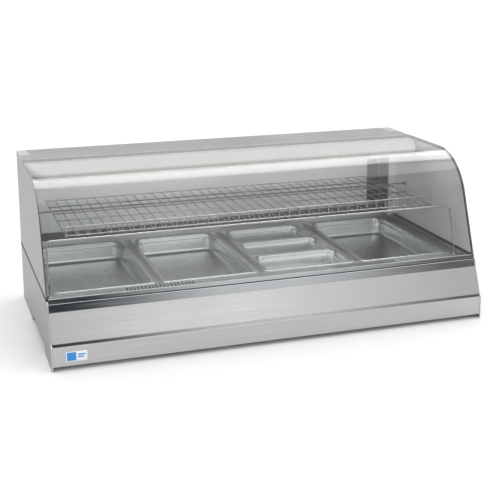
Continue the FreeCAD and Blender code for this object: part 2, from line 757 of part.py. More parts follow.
def canopy_section(inset, x_range):
    """Solid outline of the lamp canopy: flat top, upright back and a round front."""
    radius = (CANOPY_DROP ** 2 + (CANOPY_CREST - CANOPY_FRONT) ** 2) / (2 * CANOPY_DROP)
    sweep = math.asin((CANOPY_CREST - CANOPY_FRONT) / radius)
    centre_z = CANOPY_TOP - radius
    arc_points = []
    for turn in (0, 0.5, 1):
        angle = math.pi / 2 + turn * sweep
        arc_points.append(point(0, CANOPY_CREST + (radius - inset) * math.cos(angle),
                                centre_z + (radius - inset) * math.sin(angle)))
    front_low = point(0, arc_points[2].y + DEPTH / 2, CANOPY_TOP - CANOPY_DROP - CANOPY_LIP)
    back_low = point(0, CANOPY_REAR - inset, CANOPY_TOP - CANOPY_DROP - CANOPY_LIP)
    back_top = point(0, CANOPY_REAR - inset, CANOPY_TOP - inset)
    edges = [Part.Arc(*arc_points).toShape()]
    edges += Part.makePolygon([arc_points[2], front_low, back_low, back_top, arc_points[0]]).Edges
    return along_x(edges, x_range)


def lamp_canopy():
    """Open-bottomed skin over the lamps."""
    span = (-CANOPY_HALF, CANOPY_HALF)
    return canopy_section(0, span).cut(canopy_section(CANOPY_SKIN, span))


def lamp_end_cap():
    """Closed cap between the right end of the canopy and the end panel, round at its front corner."""
    middle = point(INNER_HALF - CAP_CORNER, CANOPY_FRONT + CAP_CORNER, 0)
    slant = CAP_CORNER / math.sqrt(2)
    start = point(CANOPY_HALF, CANOPY_FRONT, 0)
    turn = point(INNER_HALF - CAP_CORNER, CANOPY_FRONT, 0)
    end = point(INNER_HALF, CANOPY_FRONT + CAP_CORNER, 0)
    rear = [end, point(INNER_HALF, CANOPY_REAR, 0), point(CANOPY_HALF, CANOPY_REAR, 0), start]
    edges = [Part.LineSegment(start, turn).toShape()]
    edges.append(Part.Arc(turn, middle + FreeCAD.Vector(slant, -slant, 0), end).toShape())
    edges += Part.makePolygon(rear).Edges
    plan = Part.Face(Part.Wire(edges)).extrude(AXIS_Z * HEIGHT)
    return canopy_section(0, (CANOPY_HALF, INNER_HALF)).common(plan)


def lamp_tubes():
    tubes = []
    for x in LAMP_X:
        tubes.append(rod(LAMP_TUBE / 2, point(x - LAMP_LENGTH / 2, LAMP_Y, LAMP_Z),
                         point(x + LAMP_LENGTH / 2, LAMP_Y, LAMP_Z)))
    return tubes


def lamp_holders(tubes):
    """A holder hanging from the canopy at each end of each lamp."""
    top = CANOPY_TOP - CANOPY_SKIN
    holders = []
    for x in LAMP_X:
        for side in (-1, 1):
            middle = x + side * LAMP_LENGTH / 2
            holder = centred(HOLDER, middle, LAMP_Y, top - HOLDER[2] / 2)
            holders.append(holder.cut(tubes))
    return holders


# ---------------------------------------------------------------- operator's side
def rear_post():
    """Right rear post, a closed box section."""
    outer = block((WIDTH / 2 - POST_WIDTH, WIDTH / 2), (POST_FRONT, DEPTH), (WAIST_HIGH, HEIGHT))
    inner = block((WIDTH / 2 - POST_WIDTH + POST_WALL, WIDTH / 2 - POST_WALL),
                  (POST_FRONT + POST_WALL, DEPTH - POST_WALL), (WAIST_HIGH - 1, HEIGHT - POST_WALL))
    return outer.cut(inner)


def grooves(low, high):
    """The two door grooves between two heights."""
    span = (-OPENING_HALF, OPENING_HALF)
    half = TRACK_GROOVE / 2
    return [block(span, (middle - half, middle + half), (low, high)) for middle in TRACK_Y]


def rear_sill_track():
    span = (-OPENING_HALF, OPENING_HALF)
    sill = block(span, (TRACK_FRONT, DEPTH), (WAIST_HIGH, SILL_TOP))
    return sill.cut(grooves(SILL_GROOVE_Z, SILL_TOP + 1))


def rear_top_rail():
    """Steel top at the back, with the upper door tracks under it."""
    span = (-OPENING_HALF, OPENING_HALF)
    track = block(span, (TRACK_FRONT, DEPTH), (TOP_RAIL_LOW, HEIGHT - TOP_SKIN))
    skin = block(span, (TOP_RAIL_FRONT, DEPTH), (HEIGHT - TOP_SKIN, HEIGHT))
    wide_skin = block((-INNER_HALF, INNER_HALF), (TOP_RAIL_FRONT, POST_LINE), (HEIGHT - TOP_SKIN, HEIGHT))
    rail = track.fuse([skin, wide_skin]).removeSplitter()
    return rail.cut(grooves(TOP_RAIL_LOW - 1, TOP_GROOVE_Z))


def sliding_door(side):
    """Door on one side of the middle: the left one is in the inner track."""
    middle = TRACK_Y[0] if side < 0 else TRACK_Y[1]
    depths = (middle - DOOR_THICK / 2, middle + DOOR_THICK / 2)
    door = block((-DOOR_OVERLAP, DOOR_EDGE), depths, (DOOR_BOTTOM, DOOR_TOP))
    window = block(GRIP_X, depths, GRIP_Z)
    flange_x = (GRIP_X[0] - GRIP_FLANGE, GRIP_X[1] + GRIP_FLANGE)
    flange_z = (GRIP_Z[0] - GRIP_FLANGE, GRIP_Z[1] + GRIP_FLANGE)
    front_flange = block(flange_x, (depths[0] - GRIP_PROUD, depths[0]), flange_z)
    rear_flange = block(flange_x, (depths[1], depths[1] + GRIP_PROUD), flange_z)
    pocket_x = (GRIP_X[0] + GRIP_FLANGE, GRIP_X[1] - GRIP_FLANGE)
    pocket_z = (GRIP_Z[0] + GRIP_FLANGE, GRIP_Z[1] - GRIP_FLANGE)
    pocket = block(pocket_x, (depths[0] + GRIP_PROUD, depths[1] + 2 * GRIP_PROUD), pocket_z)
    grip = window.fuse([front_flange, rear_flange]).removeSplitter().cut(pocket)
    pair = [door.cut(window), grip]
    return pair if side > 0 else [mirrored(piece) for piece in pair]


def control_hole(radius, x):
    return rod(radius, point(x, REAR_PANEL_Y - 5, CONTROL_Z), point(x, REAR_PANEL_Y + 5, CONTROL_Z))


def screw_places():
    """Screws along the top and the bottom edge of the rear panel."""
    low = FASCIA_BOTTOM + 3 * SHEET + SCREW_EDGE[0]
    high = DECK_TOP - SHEET - SCREW_EDGE[1]
    places = []
    for z in (low, high):
        for index in range(SCREW_COLUMNS):
            places.append(((index - (SCREW_COLUMNS - 1) / 2) * SCREW_PITCH, z))
    return places


def rear_panel():
    """Panel over the service space, with holes for the controls and slots for air."""
    low = FASCIA_BOTTOM + 2 * SHEET
    high = DECK_TOP - SHEET
    deep = REAR_PANEL_Y + SHEET - REAR_PANEL_RETURN
    corners = [(deep, low), (REAR_PANEL_Y + SHEET, low), (REAR_PANEL_Y + SHEET, high), (deep, high)]
    panel = folded_sheet(corners, INNER_HALF)
    cuts = [control_hole(SHAFT / 2 + 1, KNOB_X), control_hole(GLAND_STEM, INLET_X)]
    cuts += [control_hole(PILOT_STEM, x) for x in PILOT_X]
    for x in SWITCH_X.values():
        hole = (SWITCH_FRAME[0] - 2, SWITCH_CASE, SWITCH_FRAME[2] - 2)
        cuts.append(centred(hole, x, REAR_PANEL_Y, CONTROL_Z))
    for x, z in screw_places():
        cuts.append(rod(SCREW_SHANK, point(x, REAR_PANEL_Y - SCREW_REACH, z),
                        point(x, REAR_PANEL_Y + SCREW_REACH, z)))
    for index in range(LOUVRE_COUNT):
        slot = (LOUVRE[0], SWITCH_CASE, LOUVRE[1])
        cuts.append(centred(slot, LOUVRE_START[0] + index * LOUVRE_PITCH, REAR_PANEL_Y, LOUVRE_START[1]))
    return panel.cut(cuts)


def screws():
    """Slotted screws that hold the rear panel."""
    face = REAR_PANEL_Y + SHEET
    outer = face + SCREW_HEAD_HEIGHT
    made = []
    for x, z in screw_places():
        shank = rod(SCREW_SHANK, point(x, face - SCREW_REACH, z), point(x, face, z))
        head = rod(SCREW_HEAD, point(x, face, z), point(x, outer, z))
        slot = centred((*SCREW_SLOT, 2 * SCREW_HEAD), x, outer, z)
        made.append(head.cut(slot).fuse(shank).removeSplitter())
    return made


def thermostat_body():
    """Thermostat behind the rear panel, with its shaft through it."""
    body = centred(THERMOSTAT, KNOB_X, REAR_PANEL_Y - THERMOSTAT[1] / 2, THERMOSTAT_Z)
    shaft = rod(SHAFT / 2, point(KNOB_X, REAR_PANEL_Y - 1, CONTROL_Z),
                point(KNOB_X, REAR_PANEL_Y + KNOB_BORE_DEPTH, CONTROL_Z))
    return body.fuse(shaft).removeSplitter()


def thermostat_knob():
    """Round knob with a skirt and a grip bar."""
    face = REAR_PANEL_Y + SHEET + 1
    skirt = rod(KNOB_RADIUS, point(KNOB_X, face, CONTROL_Z), point(KNOB_X, face + KNOB_SKIRT, CONTROL_Z))
    bar = (KNOB_BAR, KNOB_DEPTH, 2 * KNOB_RADIUS - KNOB_SKIRT)
    grip = centred(bar, KNOB_X, face + KNOB_DEPTH / 2, CONTROL_Z)
    core = rod(KNOB_CORE, point(KNOB_X, face, CONTROL_Z),
               point(KNOB_X, face + KNOB_BORE_DEPTH, CONTROL_Z))
    bore = rod(SHAFT / 2 + PIN_CLEARANCE, point(KNOB_X, face - 1, CONTROL_Z),
               point(KNOB_X, face + KNOB_BORE_DEPTH, CONTROL_Z))
    return skirt.fuse([grip, core]).removeSplitter().cut(bore)


def switch_body(x):
    """Snap-in switch housing: a frame outside the panel and a case inside it."""
    width, proud, height = SWITCH_FRAME
    face = REAR_PANEL_Y + SHEET
    flange = (width + SWITCH_FLANGE, proud, height + SWITCH_FLANGE)
    frame = centred(flange, x, face + proud / 2, CONTROL_Z)
    case = centred((width - 2, SWITCH_CASE, height - 2), x, face - SWITCH_CASE / 2, CONTROL_Z)
    well = centred((ROCKER[0] + ROCKER_GAP, SWITCH_WELL, ROCKER[2] + 3 * ROCKER_GAP), x, face, CONTROL_Z)
    return frame.fuse(case).removeSplitter().cut(well)


def rocker(x):
    """Rocker in its off position, turned about the level pivot that stands out at its two sides."""
    middle = REAR_PANEL_Y + SHEET + SWITCH_FRAME[1] - 2
    body = centred(ROCKER, x, middle, CONTROL_Z)
    body.rotate(point(x, middle, CONTROL_Z), AXIS_X, -ROCKER_TILT)
    reach = (ROCKER[0] + ROCKER_GAP) / 2 - PIN_CLEARANCE
    pivot = rod(ROCKER_PIVOT, point(x - reach, middle, CONTROL_Z), point(x + reach, middle, CONTROL_Z))
    return body.fuse(pivot).removeSplitter()


def pilot_lamp(x):
    face = REAR_PANEL_Y + SHEET
    stem = rod(PILOT_STEM, point(x, face - STEM_LENGTH, CONTROL_Z), point(x, face, CONTROL_Z))
    lens = rod(PILOT_LENS, point(x, face, CONTROL_Z), point(x, face + PILOT_PROUD, CONTROL_Z))
    rim = [edge for edge in lens.Edges if edge.Closed and edge.CenterOfMass.y > from_front(face + 1)]
    return stem.fuse(lens.makeFillet(PILOT_ROUND, rim)).removeSplitter()


def cable_inlet():
    """Gland for the mains lead, open right through."""
    face = REAR_PANEL_Y + SHEET
    nut_end = face + GLAND_NUT[1]
    dome_end = nut_end + GLAND_DOME[1]

    def ring(radius, start, end):
        return rod(radius, point(INLET_X, start, CONTROL_Z), point(INLET_X, end, CONTROL_Z))

    stem = ring(GLAND_STEM, face - STEM_LENGTH, face)
    collar = [ring(GLAND_NUT[0], face, nut_end), ring(GLAND_DOME[0], nut_end, dome_end)]
    bore = ring(GLAND_BORE, face - STEM_LENGTH - 1, dome_end + 1)
    return stem.fuse(collar).removeSplitter().cut(bore)


def terminal_block():
    """Mains terminals on the base tray beside the gland."""
    middle = FASCIA_BOTTOM + 2 * SHEET + TERMINALS[2] / 2
    body = centred(TERMINALS, INLET_X, TERMINALS_Y, middle)
    holes = []
    for place in (-1, 0, 1):
        x = INLET_X + place * TERMINAL_PITCH
        ends = [point(x, TERMINALS_Y + side * TERMINALS[1], middle) for side in (-1, 1)]
        holes.append(rod(TERMINAL_BORE, *ends))
    return body.cut(holes)


def insulation_slab():
    return block((-LINER_HALF, LINER_HALF), (LINER_FRONT, INSULATION_REAR),
                 (LINER_BOTTOM - INSULATION, LINER_BOTTOM))


# ---------------------------------------------------------------- all the nodes
def both_sides(shape):
    return [mirrored(shape), shape]


def build():
    os.makedirs(OUT, exist_ok=True)
    glass = curved_glass()
    pins = both_sides(hinge_pin())
    elements = [heating_element(position) for position in range(PAN_COUNT)]
    tubes = lamp_tubes()
    nodes = {
        "base_tray": [base_tray()],
        "rubber_feet": rubber_feet(),
        "front_panel_lower": [front_panel_lower()],
        "front_reveal_strip": [front_reveal_strip()],
        "front_panel_upper": [front_panel_upper()],
        "front_rail": [front_rail()],
        "name_plate": [name_plate()],
        "waist_gaskets": both_sides(waist_gasket()),
        "end_plugs": both_sides(end_plug()),
        "curved_glass": [glass],
        "glass_hinge_pins": pins,
        "glass_clamp_rail": [glass_clamp_rail(glass, pins)],
        "edge_gaskets": both_sides(edge_gasket()),
        "deck_plate": [deck_plate()],
        "divider_bars": divider_bars(),
        "well_liner": well_liner(elements),
        "insulation_slab": [insulation_slab()],
        "air_baffle": air_baffle(),
        "fan_shelf": [fan_shelf()],
        "heating_elements": elements,
        "element_stands": element_stands(),
        "rack_support_front": [rack_support_front()],
        "rack_support_rear": [rack_support_rear()],
        "wire_rack": wire_rack(),
        "lamp_canopy": [lamp_canopy()],
        "lamp_end_caps": both_sides(lamp_end_cap()),
        "lamp_tubes": tubes,
        "lamp_holders": lamp_holders(tubes),
        "rear_sill_track": [rear_sill_track()],
        "rear_top_rail": [rear_top_rail()],
        "rear_panel": [rear_panel()],
        "screws": screws(),
        "thermostat_body": [thermostat_body()],
        "thermostat_knob": [thermostat_knob()],
        "switch_bodies": [switch_body(x) for x in SWITCH_X.values()],
        "pilot_lamps": [pilot_lamp(x) for x in PILOT_X],
        "cable_inlet": [cable_inlet()],
        "terminal_block": [terminal_block()],
    }
    for side, name in ((-1, "left"), (1, "right")):
        nodes["fan_frame_" + name] = [fan_frame(side)]
        nodes["fan_rotor_" + name] = [fan_rotor(side)]
        door, grip = sliding_door(side)
        nodes["door_" + name] = [door]
        nodes["door_grip_" + name] = [grip]
    for name, make in (("lower_end_panel", lower_end_panel), ("upper_end_panel", upper_end_panel),
                       ("rear_post", rear_post)):
        left, right = both_sides(make())
        nodes[name + "_left"] = [left]
        nodes[name + "_right"] = [right]
    for name, x in SWITCH_X.items():
        nodes[name] = [rocker(x)]
    for name, pan in pans().items():
        nodes[name] = [pan]
    for name, shapes in nodes.items():
        save(name, shapes)
    print(len(nodes), "nodes")


build()
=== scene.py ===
import json
import math

import bmesh
import bpy
from mathutils import Matrix, Vector


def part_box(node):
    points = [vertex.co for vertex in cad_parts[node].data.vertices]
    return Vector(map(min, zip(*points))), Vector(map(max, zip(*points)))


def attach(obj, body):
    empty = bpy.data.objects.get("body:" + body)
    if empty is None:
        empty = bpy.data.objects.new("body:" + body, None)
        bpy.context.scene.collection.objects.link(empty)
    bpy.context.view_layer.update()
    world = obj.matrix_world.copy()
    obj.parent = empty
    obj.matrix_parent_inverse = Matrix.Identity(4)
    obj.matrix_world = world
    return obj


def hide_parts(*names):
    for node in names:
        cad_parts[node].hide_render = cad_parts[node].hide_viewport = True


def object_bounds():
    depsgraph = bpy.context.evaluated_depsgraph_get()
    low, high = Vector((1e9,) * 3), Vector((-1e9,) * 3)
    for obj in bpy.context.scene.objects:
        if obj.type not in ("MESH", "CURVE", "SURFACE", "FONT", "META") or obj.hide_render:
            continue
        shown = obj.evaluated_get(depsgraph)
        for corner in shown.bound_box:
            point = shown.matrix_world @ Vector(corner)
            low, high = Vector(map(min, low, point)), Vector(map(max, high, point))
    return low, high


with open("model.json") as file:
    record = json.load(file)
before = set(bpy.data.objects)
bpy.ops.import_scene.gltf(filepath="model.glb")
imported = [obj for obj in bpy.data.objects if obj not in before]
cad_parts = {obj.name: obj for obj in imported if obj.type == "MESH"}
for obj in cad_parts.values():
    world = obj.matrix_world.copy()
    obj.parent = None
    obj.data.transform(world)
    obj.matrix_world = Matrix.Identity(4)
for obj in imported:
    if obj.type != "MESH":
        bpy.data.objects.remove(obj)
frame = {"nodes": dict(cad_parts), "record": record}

# Looks of the hot food display case: finer shapes for what shows, procedural materials,
# a plain studio and the camera. Metres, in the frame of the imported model: the customer's
# side faces -Y, +X is to the right from there, and the counter is at z = 0.

MM = 0.001
CAD_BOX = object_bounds()
HALF_WIDTH = CAD_BOX[1][0]
TOP = CAD_BOX[1][2]
X_AXIS = Vector((1, 0, 0))
BODY = {}
for body_name, members in frame["record"]["behaviour"]["bodies"].items():
    for member in members:
        BODY[member] = body_name
SLOT = {entry["node"]: entry["material_slot"] for entry in frame["record"]["subparts"]}

# ---- curved glass
GLASS_THICK = 6 * MM
GLASS_LEAN = math.radians(20)
BEND_RADIUS = 200 * MM
BEND_STEPS = 40
GLASS_SHOULDER = 209 * MM     # below this the pane is narrower, to sit in its clamp
CLAMP_HALF = 719 * MM

# ---- folded sheet
GRAIN_DEPTH = 0.02 * MM
BROKEN_EDGE = 0.5 * MM
CORNER_ANGLE = math.radians(35)   # edges sharper than that are broken
SHORTEST_EDGE = 8 * MM            # and only if they are longer than that
FLAT_ANGLE = math.radians(0.2)

# ---- pans
CORNER_STEPS = 10
FLOOR_STEPS = 6

# ---- rack
RACK_WIRES = 37
RACK_CROSSES = 6
WIRE = 1.5 * MM
CROSS = 2 * MM
RACK_BEND = 6 * MM
RACK_LIP = 8 * MM             # the wires of the lip stand that much above the CAD rack
SUPPORT_ROD = 3.0 * MM
SUPPORT_BEND = 14 * MM
ROD_SIDES = 12
ROD_BEND_STEPS = 6

# ---- canopy
CANOPY_SKIN = 2 * MM
CANOPY_FLANGE = 5.5 * MM      # the rear edge turns up to the rail by that much
CANOPY_RIDGE = 52 * MM        # from the rear edge to the ridge where the face starts to fall
CANOPY_FACE = 92 * MM         # from the ridge to the nose
CANOPY_FALL = 15 * MM
CANOPY_NOSE = 9 * MM
CANOPY_SHADE_BAND = 14 * MM         # height of the dark brown band along the lower edge, painted shade under the nose
CANOPY_TAPER = 52 * MM        # the ends curve back over that length of x
BEAD_HALF = 4 * MM
BEAD_RISE = 1.5 * MM
BEAD_STEPS = 8
CANOPY_BACK = 3 * MM          # the roof starts that far in front of the rear edge
CANOPY_HEM = 1.2 * MM
CAP_POWER = 1.6               # how square the ends are in plan: 2 is an ellipse
NOSE_STEPS = 6
CAP_STEPS = 10
CAP_GAP = 0.4 * MM

# ---- doors and knob
SEAL_REACH = 4.6 * MM
SEAL_HALF = 1.6 * MM
SEAL_INSET = 16 * MM          # from the top and the foot of the door
FLUTES = 18
DIAL_MARKS = 11
DIAL_START = -135             # degrees from the top
DIAL_STEP = 27

# ---- studio
CAMERA_PLACE = Vector((-1.074, -3.311, 1.234))
CAMERA_YAW = math.radians(18.32)
CAMERA_PITCH = math.radians(12.3)
CAMERA_ROLL = math.radians(-0.27)
CAMERA_SHIFT = -0.15
CAMERA_LENS = 74.75
FLOOR_PAPER = (0.90, 0.90, 0.90)
FLOOR_REACH = 30.0
WORLD_LIGHT = 1.05
BOX_PLACE = (0.6, 1.11, 2.34)
BOX_AIM = (0.6, -0.12, 0.52)
BOX_SIZE = (4.8, 1.24)
BOX_POWER = 105.0
SUN_STRENGTH = 0.5
SUN_SOFTNESS = math.radians(35)
SUN_WAY = Vector((-0.25, 0.0, -1.0))
GLOW_PLACE = (0.0, 0.10, 0.478)
GLOW_AIM = (0.0, 0.36, 0.26)
GLOW_SIZE = (1.25, 0.05)
GLOW_POWER = 0.75
GLOW_COLOUR = (1.0, 0.98, 0.96)


# ---------------------------------------------------------------- materials
class Finish:
    """A material in the making: a Principled shader and the nodes that feed it."""

    def __init__(self, name, **values):
        self.material = bpy.data.materials.new(name)
        self.material.use_nodes = True
        self.tree = self.material.node_tree
        self.shader = self.tree.nodes["Principled BSDF"]
        for socket, value in values.items():
            self.shader.inputs[socket.replace("_", " ")].default_value = value
        self.place = self.add("ShaderNodeTexCoord").outputs["Object"]

    def add(self, kind, **values):
        node = self.tree.nodes.new(kind)
        for socket, value in values.items():
            node.inputs[socket.replace("_", " ")].default_value = value
        return node

    def join(self, source, target):
        self.tree.links.new(source, target)

    def noise(self, scale, detail, stretch=(1, 1, 1)):
        """Cloudy pattern, scale features to a metre, times the stretch along each axis."""
        mapping = self.add("ShaderNodeMapping", Scale=[scale * share for share in stretch])
        noise = self.add("ShaderNodeTexNoise", Scale=1.0, Detail=detail)
        self.join(self.place, mapping.inputs["Vector"])
        self.join(mapping.outputs["Vector"], noise.inputs["Vector"])
        return noise.outputs["Fac"]

    def spread(self, pattern, low, high):
        """The pattern's middle range, drawn out from low to high."""
        node = self.add("ShaderNodeMapRange", From_Min=0.3, From_Max=0.7, To_Min=low, To_Max=high)
        self.join(pattern, node.inputs["Value"])
        return node.outputs["Result"]

    def blend(self, pattern, first, second):
        """Colour between two colours, or two colour sockets, as the pattern goes."""
        node = self.tree.nodes.new("ShaderNodeMixRGB")
        self.join(self.spread(pattern, 0.0, 1.0), node.inputs["Fac"])
        for socket, colour in (("Color1", first), ("Color2", second)):
            if isinstance(colour, tuple):
                node.inputs[socket].default_value = (*colour, 1.0)
            else:
                self.join(colour, node.inputs[socket])
        return node.outputs["Color"]

    def bump(self, pattern, depth, below=None):
        """Relief of that depth in metres, on top of another relief."""
        node = self.add("ShaderNodeBump", Strength=1.0, Distance=depth)
        self.join(pattern, node.inputs["Height"])
        if below is not None:
            self.join(below, node.inputs["Normal"])
        return node.outputs["Normal"]

    def feed(self, **sockets):
        for socket, source in sockets.items():
            self.join(source, self.shader.inputs[socket.replace("_", " ")])
        return self.material


def shade(colour, factor):
    return tuple(channel * factor for channel in colour)


def brushed_steel(name, colour, roughness, grain, streak=0.10, edge=1.0, metal=1.0):
    """Brushed steel with its grain along one axis: hair lines, broader streaks and soft stains."""
    along = [1.0 if axis == grain else 60.0 for axis in "xyz"]
    finish = Finish(name, Metallic=metal, Specular_Tint=(edge, edge, edge, 1.0))
    lines = finish.noise(14.0, 3.0, along)
    streaks = finish.noise(2.2, 4.0, along)
    stains = finish.noise(3.0, 3.0)
    tone = finish.blend(streaks, shade(colour, 1 - streak), shade(colour, 1 + streak / 2))
    tone = finish.blend(stains, tone, finish.blend(lines, shade(colour, 1 - streak / 2), colour))
    rough = finish.spread(stains, roughness - 0.03, roughness + 0.05)
    return finish.feed(Base_Color=tone, Roughness=rough, Normal=finish.bump(lines, GRAIN_DEPTH))


def polished_steel(name, colour, roughness):
    """Bright polished steel with fine wiping marks."""
    finish = Finish(name, Metallic=1.0)
    marks = finish.noise(40.0, 4.0, (0.15, 2.0, 2.0))
    clouds = finish.noise(4.0, 3.0)
    tone = finish.blend(clouds, shade(colour, 0.94), colour)
    rough = finish.spread(marks, roughness * 0.6, roughness * 1.5)
    return finish.feed(Base_Color=tone, Roughness=rough, Normal=finish.bump(marks, 0.004 * MM))


def pressed_steel(name, colour, roughness):
    """Satin deep-drawn steel: faint scratches every way and soft water marks."""
    finish = Finish(name, Metallic=1.0)
    across = finish.noise(30.0, 5.0, (1.0, 14.0, 1.0))
    along = finish.noise(30.0, 5.0, (14.0, 1.0, 1.0))
    marks = finish.noise(4.0, 3.0)
    tone = finish.blend(marks, shade(colour, 0.97), shade(colour, 1.02))
    rough = finish.spread(marks, roughness - 0.015, roughness + 0.025)
    relief = finish.bump(along, 0.002 * MM, finish.bump(across, 0.002 * MM))
    return finish.feed(Base_Color=tone, Roughness=rough, Normal=relief)


def moulded(name, colour, roughness, grain=900.0, depth=0.05 * MM, coat=0.0, uneven=0.08):
    """Plastic, rubber or powder paint with a fine grain and slightly uneven gloss."""
    finish = Finish(name, Coat_Weight=coat, Coat_Roughness=0.12)
    fine = finish.noise(grain, 2.0)
    clouds = finish.noise(14.0, 3.0)
    tone = finish.blend(clouds, shade(colour, 1 - uneven), shade(colour, 1 + uneven))
    rough = finish.spread(clouds, roughness - 0.06, roughness + 0.06)
    return finish.feed(Base_Color=tone, Roughness=rough, Normal=finish.bump(fine, depth))


def thin_glass(name, tint, facing_on, smear):
    """Clear glass as a thin sheet: tinted see-through, and a mirror at grazing angles."""
    finish = Finish(name)
    finish.tree.nodes.remove(finish.shader)
    clear = finish.add("ShaderNodeBsdfTransparent", Color=(*tint, 1.0))
    mirror = finish.add("ShaderNodeBsdfGlossy")
    mix = finish.add("ShaderNodeMixShader")
    facing = finish.add("ShaderNodeLayerWeight", Blend=0.5).outputs["Facing"]
    power = finish.tree.nodes.new("ShaderNodeMath")
    power.operation = "POWER"
    power.inputs[1].default_value = 5.0
    finish.join(facing, power.inputs[0])
    share = finish.add("ShaderNodeMapRange", To_Min=facing_on, To_Max=1.0)
    finish.join(power.outputs["Value"], share.inputs["Value"])
    film = finish.spread(finish.noise(6.0, 4.0), 0.0, smear)
    finish.join(film, mirror.inputs["Roughness"])
    finish.join(share.outputs["Result"], mix.inputs["Fac"])
    finish.join(clear.outputs["BSDF"], mix.inputs[1])
    finish.join(mirror.outputs["BSDF"], mix.inputs[2])
    output = finish.tree.nodes["Material Output"]
    finish.join(mix.outputs["Shader"], output.inputs["Surface"])
    return finish.material


def heat_tinted(name, colour, scorched):
    """Heating rod: dull steel with brown and blue patches from the heat."""
    finish = Finish(name, Metallic=1.0)
    patches = finish.noise(12.0, 4.0)
    tone = finish.blend(patches, colour, scorched)
    rough = finish.spread(patches, 0.35, 0.6)
    return finish.feed(Base_Color=tone, Roughness=rough, Normal=finish.bump(patches, 0.05 * MM))


def wool(name, colour):
    """Mineral wool: loose fibres, light and dark."""
    finish = Finish(name, Sheen_Weight=0.3)
    fibres = finish.noise(260.0, 6.0, (1.0, 0.2, 2.0))
    lumps = finish.noise(40.0, 4.0)
    tone = finish.blend(fibres, shade(colour, 0.6), colour)
    rough = finish.spread(lumps, 0.85, 1.0)
    relief = finish.bump(fibres, 0.8 * MM, finish.bump(lumps, 2 * MM))
    return finish.feed(Base_Color=tone, Roughness=rough, Normal=relief)


STEEL = (0.60, 0.595, 0.59)
COOL_STEEL = (0.54, 0.545, 0.555)
steel_long = brushed_steel("brushed_steel_lengthwise", STEEL, 0.28, "x")
# painted shade: the lower front panel is the same steel as the upper one, made darker
steel_low_shaded = brushed_steel("brushed_steel_shaded_low", shade(STEEL, 0.87), 0.30, "x")
steel_upright = brushed_steel("brushed_steel_upright", COOL_STEEL, 0.34, "z", edge=0.6)
# painted shade: a darker copy of the cool steel, so the rear top rail reads grey under the soft box
steel_top_shaded = brushed_steel("brushed_steel_shaded_top", shade(COOL_STEEL, 0.72), 0.34, "x", edge=0.55)
# satin finish and painted light: a lighter, half-diffuse copy of the steel for inner faces, so the inside
# reads bright
steel_satin_lit = brushed_steel("satin_steel_inside_lit", (0.74, 0.74, 0.75), 0.5, "z", streak=0.05, metal=0.55)
steel_inner = brushed_steel("inner_steel_fine", (0.52, 0.525, 0.53), 0.32, "x", streak=0.06)
rail_bright = polished_steel("polished_rail_bright", (0.60, 0.63, 0.64), 0.09)
pan_satin = pressed_steel("pan_steel_satin", (0.70, 0.715, 0.72), 0.26)
wire_plated = polished_steel("plated_wire", (0.40, 0.385, 0.375), 0.22)
# painted shade: a dark brown band where the canopy's lower edge lies in shadow
painted_shade_band = moulded("canopy_painted_shade_band", (0.16, 0.115, 0.09), 0.5, grain=900.0)
glass_clear = thin_glass("display_glass_clear", (0.985, 0.995, 0.99), 0.04, smear=0.008)
glass_rim = moulded("glass_edge_green", (0.012, 0.035, 0.032), 0.2, grain=200.0, depth=0.02 * MM)
rubber = moulded("seal_rubber", (0.022, 0.024, 0.025), 0.62, grain=1200.0, depth=0.08 * MM)
black_grained = moulded("black_plastic_grained", (0.018, 0.018, 0.019), 0.42)
# near-black, slightly warm track along the foot of the doors
dark_metal = moulded("dark_track_metal", (0.045, 0.038, 0.036), 0.36, grain=700.0, depth=0.03 * MM)
cream_paint = moulded("canopy_cream_paint", (0.385, 0.365, 0.35), 0.42, grain=500.0, uneven=0.03)
ceramic_glaze = moulded("ceramic_glazed", (0.80, 0.77, 0.70), 0.3, coat=0.5)
blue_enamel = moulded("badge_blue_enamel", (0.0, 0.22, 0.62), 0.3, coat=0.6)
white_enamel = moulded("badge_white_enamel", (0.80, 0.84, 0.86), 0.35, coat=0.4)
amber = moulded("amber_lens_plastic", (0.85, 0.30, 0.03), 0.18, coat=0.8)
lamp_quartz = thin_glass("lamp_quartz", (0.93, 0.88, 0.82), 0.06, smear=0.4)
fan_black = moulded("fan_plastic_dark", (0.03, 0.03, 0.033), 0.4)
rod_scorched = heat_tinted("heater_rod_scorched", (0.34, 0.31, 0.29), (0.16, 0.13, 0.15))
mineral_wool = wool("insulation_wool", (0.72, 0.62, 0.36))

BY_SLOT = {
    "brushed_panel": steel_long, "inner_steel": steel_inner, "polished_rail": rail_bright,
    "pan_steel": pan_satin, "display_glass": glass_clear, "lamp_glass": lamp_quartz,
    "gasket": rubber, "black_plastic": black_grained, "dark_track": dark_metal,
    "canopy_cream": cream_paint, "rack_wire": wire_plated, "ceramic": ceramic_glaze,
    "insulation": mineral_wool, "badge_blue": blue_enamel, "amber_lens": amber,
    "heater_rod": rod_scorched, "fan_plastic": fan_black,
}


# ---------------------------------------------------------------- mesh helpers
def as_object(name, work, materials, sharp=32.0):
    """Object from a bmesh, smooth except at corners sharper than some degrees (0 for flat faces)."""
    bmesh.ops.recalc_face_normals(work, faces=work.faces)
    mesh = bpy.data.meshes.new(name)
    work.to_mesh(mesh)
    work.free()
    mesh.polygons.foreach_set("use_smooth", [sharp > 0] * len(mesh.polygons))
    mesh.set_sharp_from_angle(angle=math.radians(sharp))
    for material in materials:
        mesh.materials.append(material)
    piece = bpy.data.objects.new(name, mesh)
    bpy.context.scene.collection.objects.link(piece)
    return piece


def stand_in(piece, *nodes):
    """The piece stands for CAD nodes and moves with the body of the first."""
    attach(piece, BODY[nodes[0]])
    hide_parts(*nodes)
    return piece


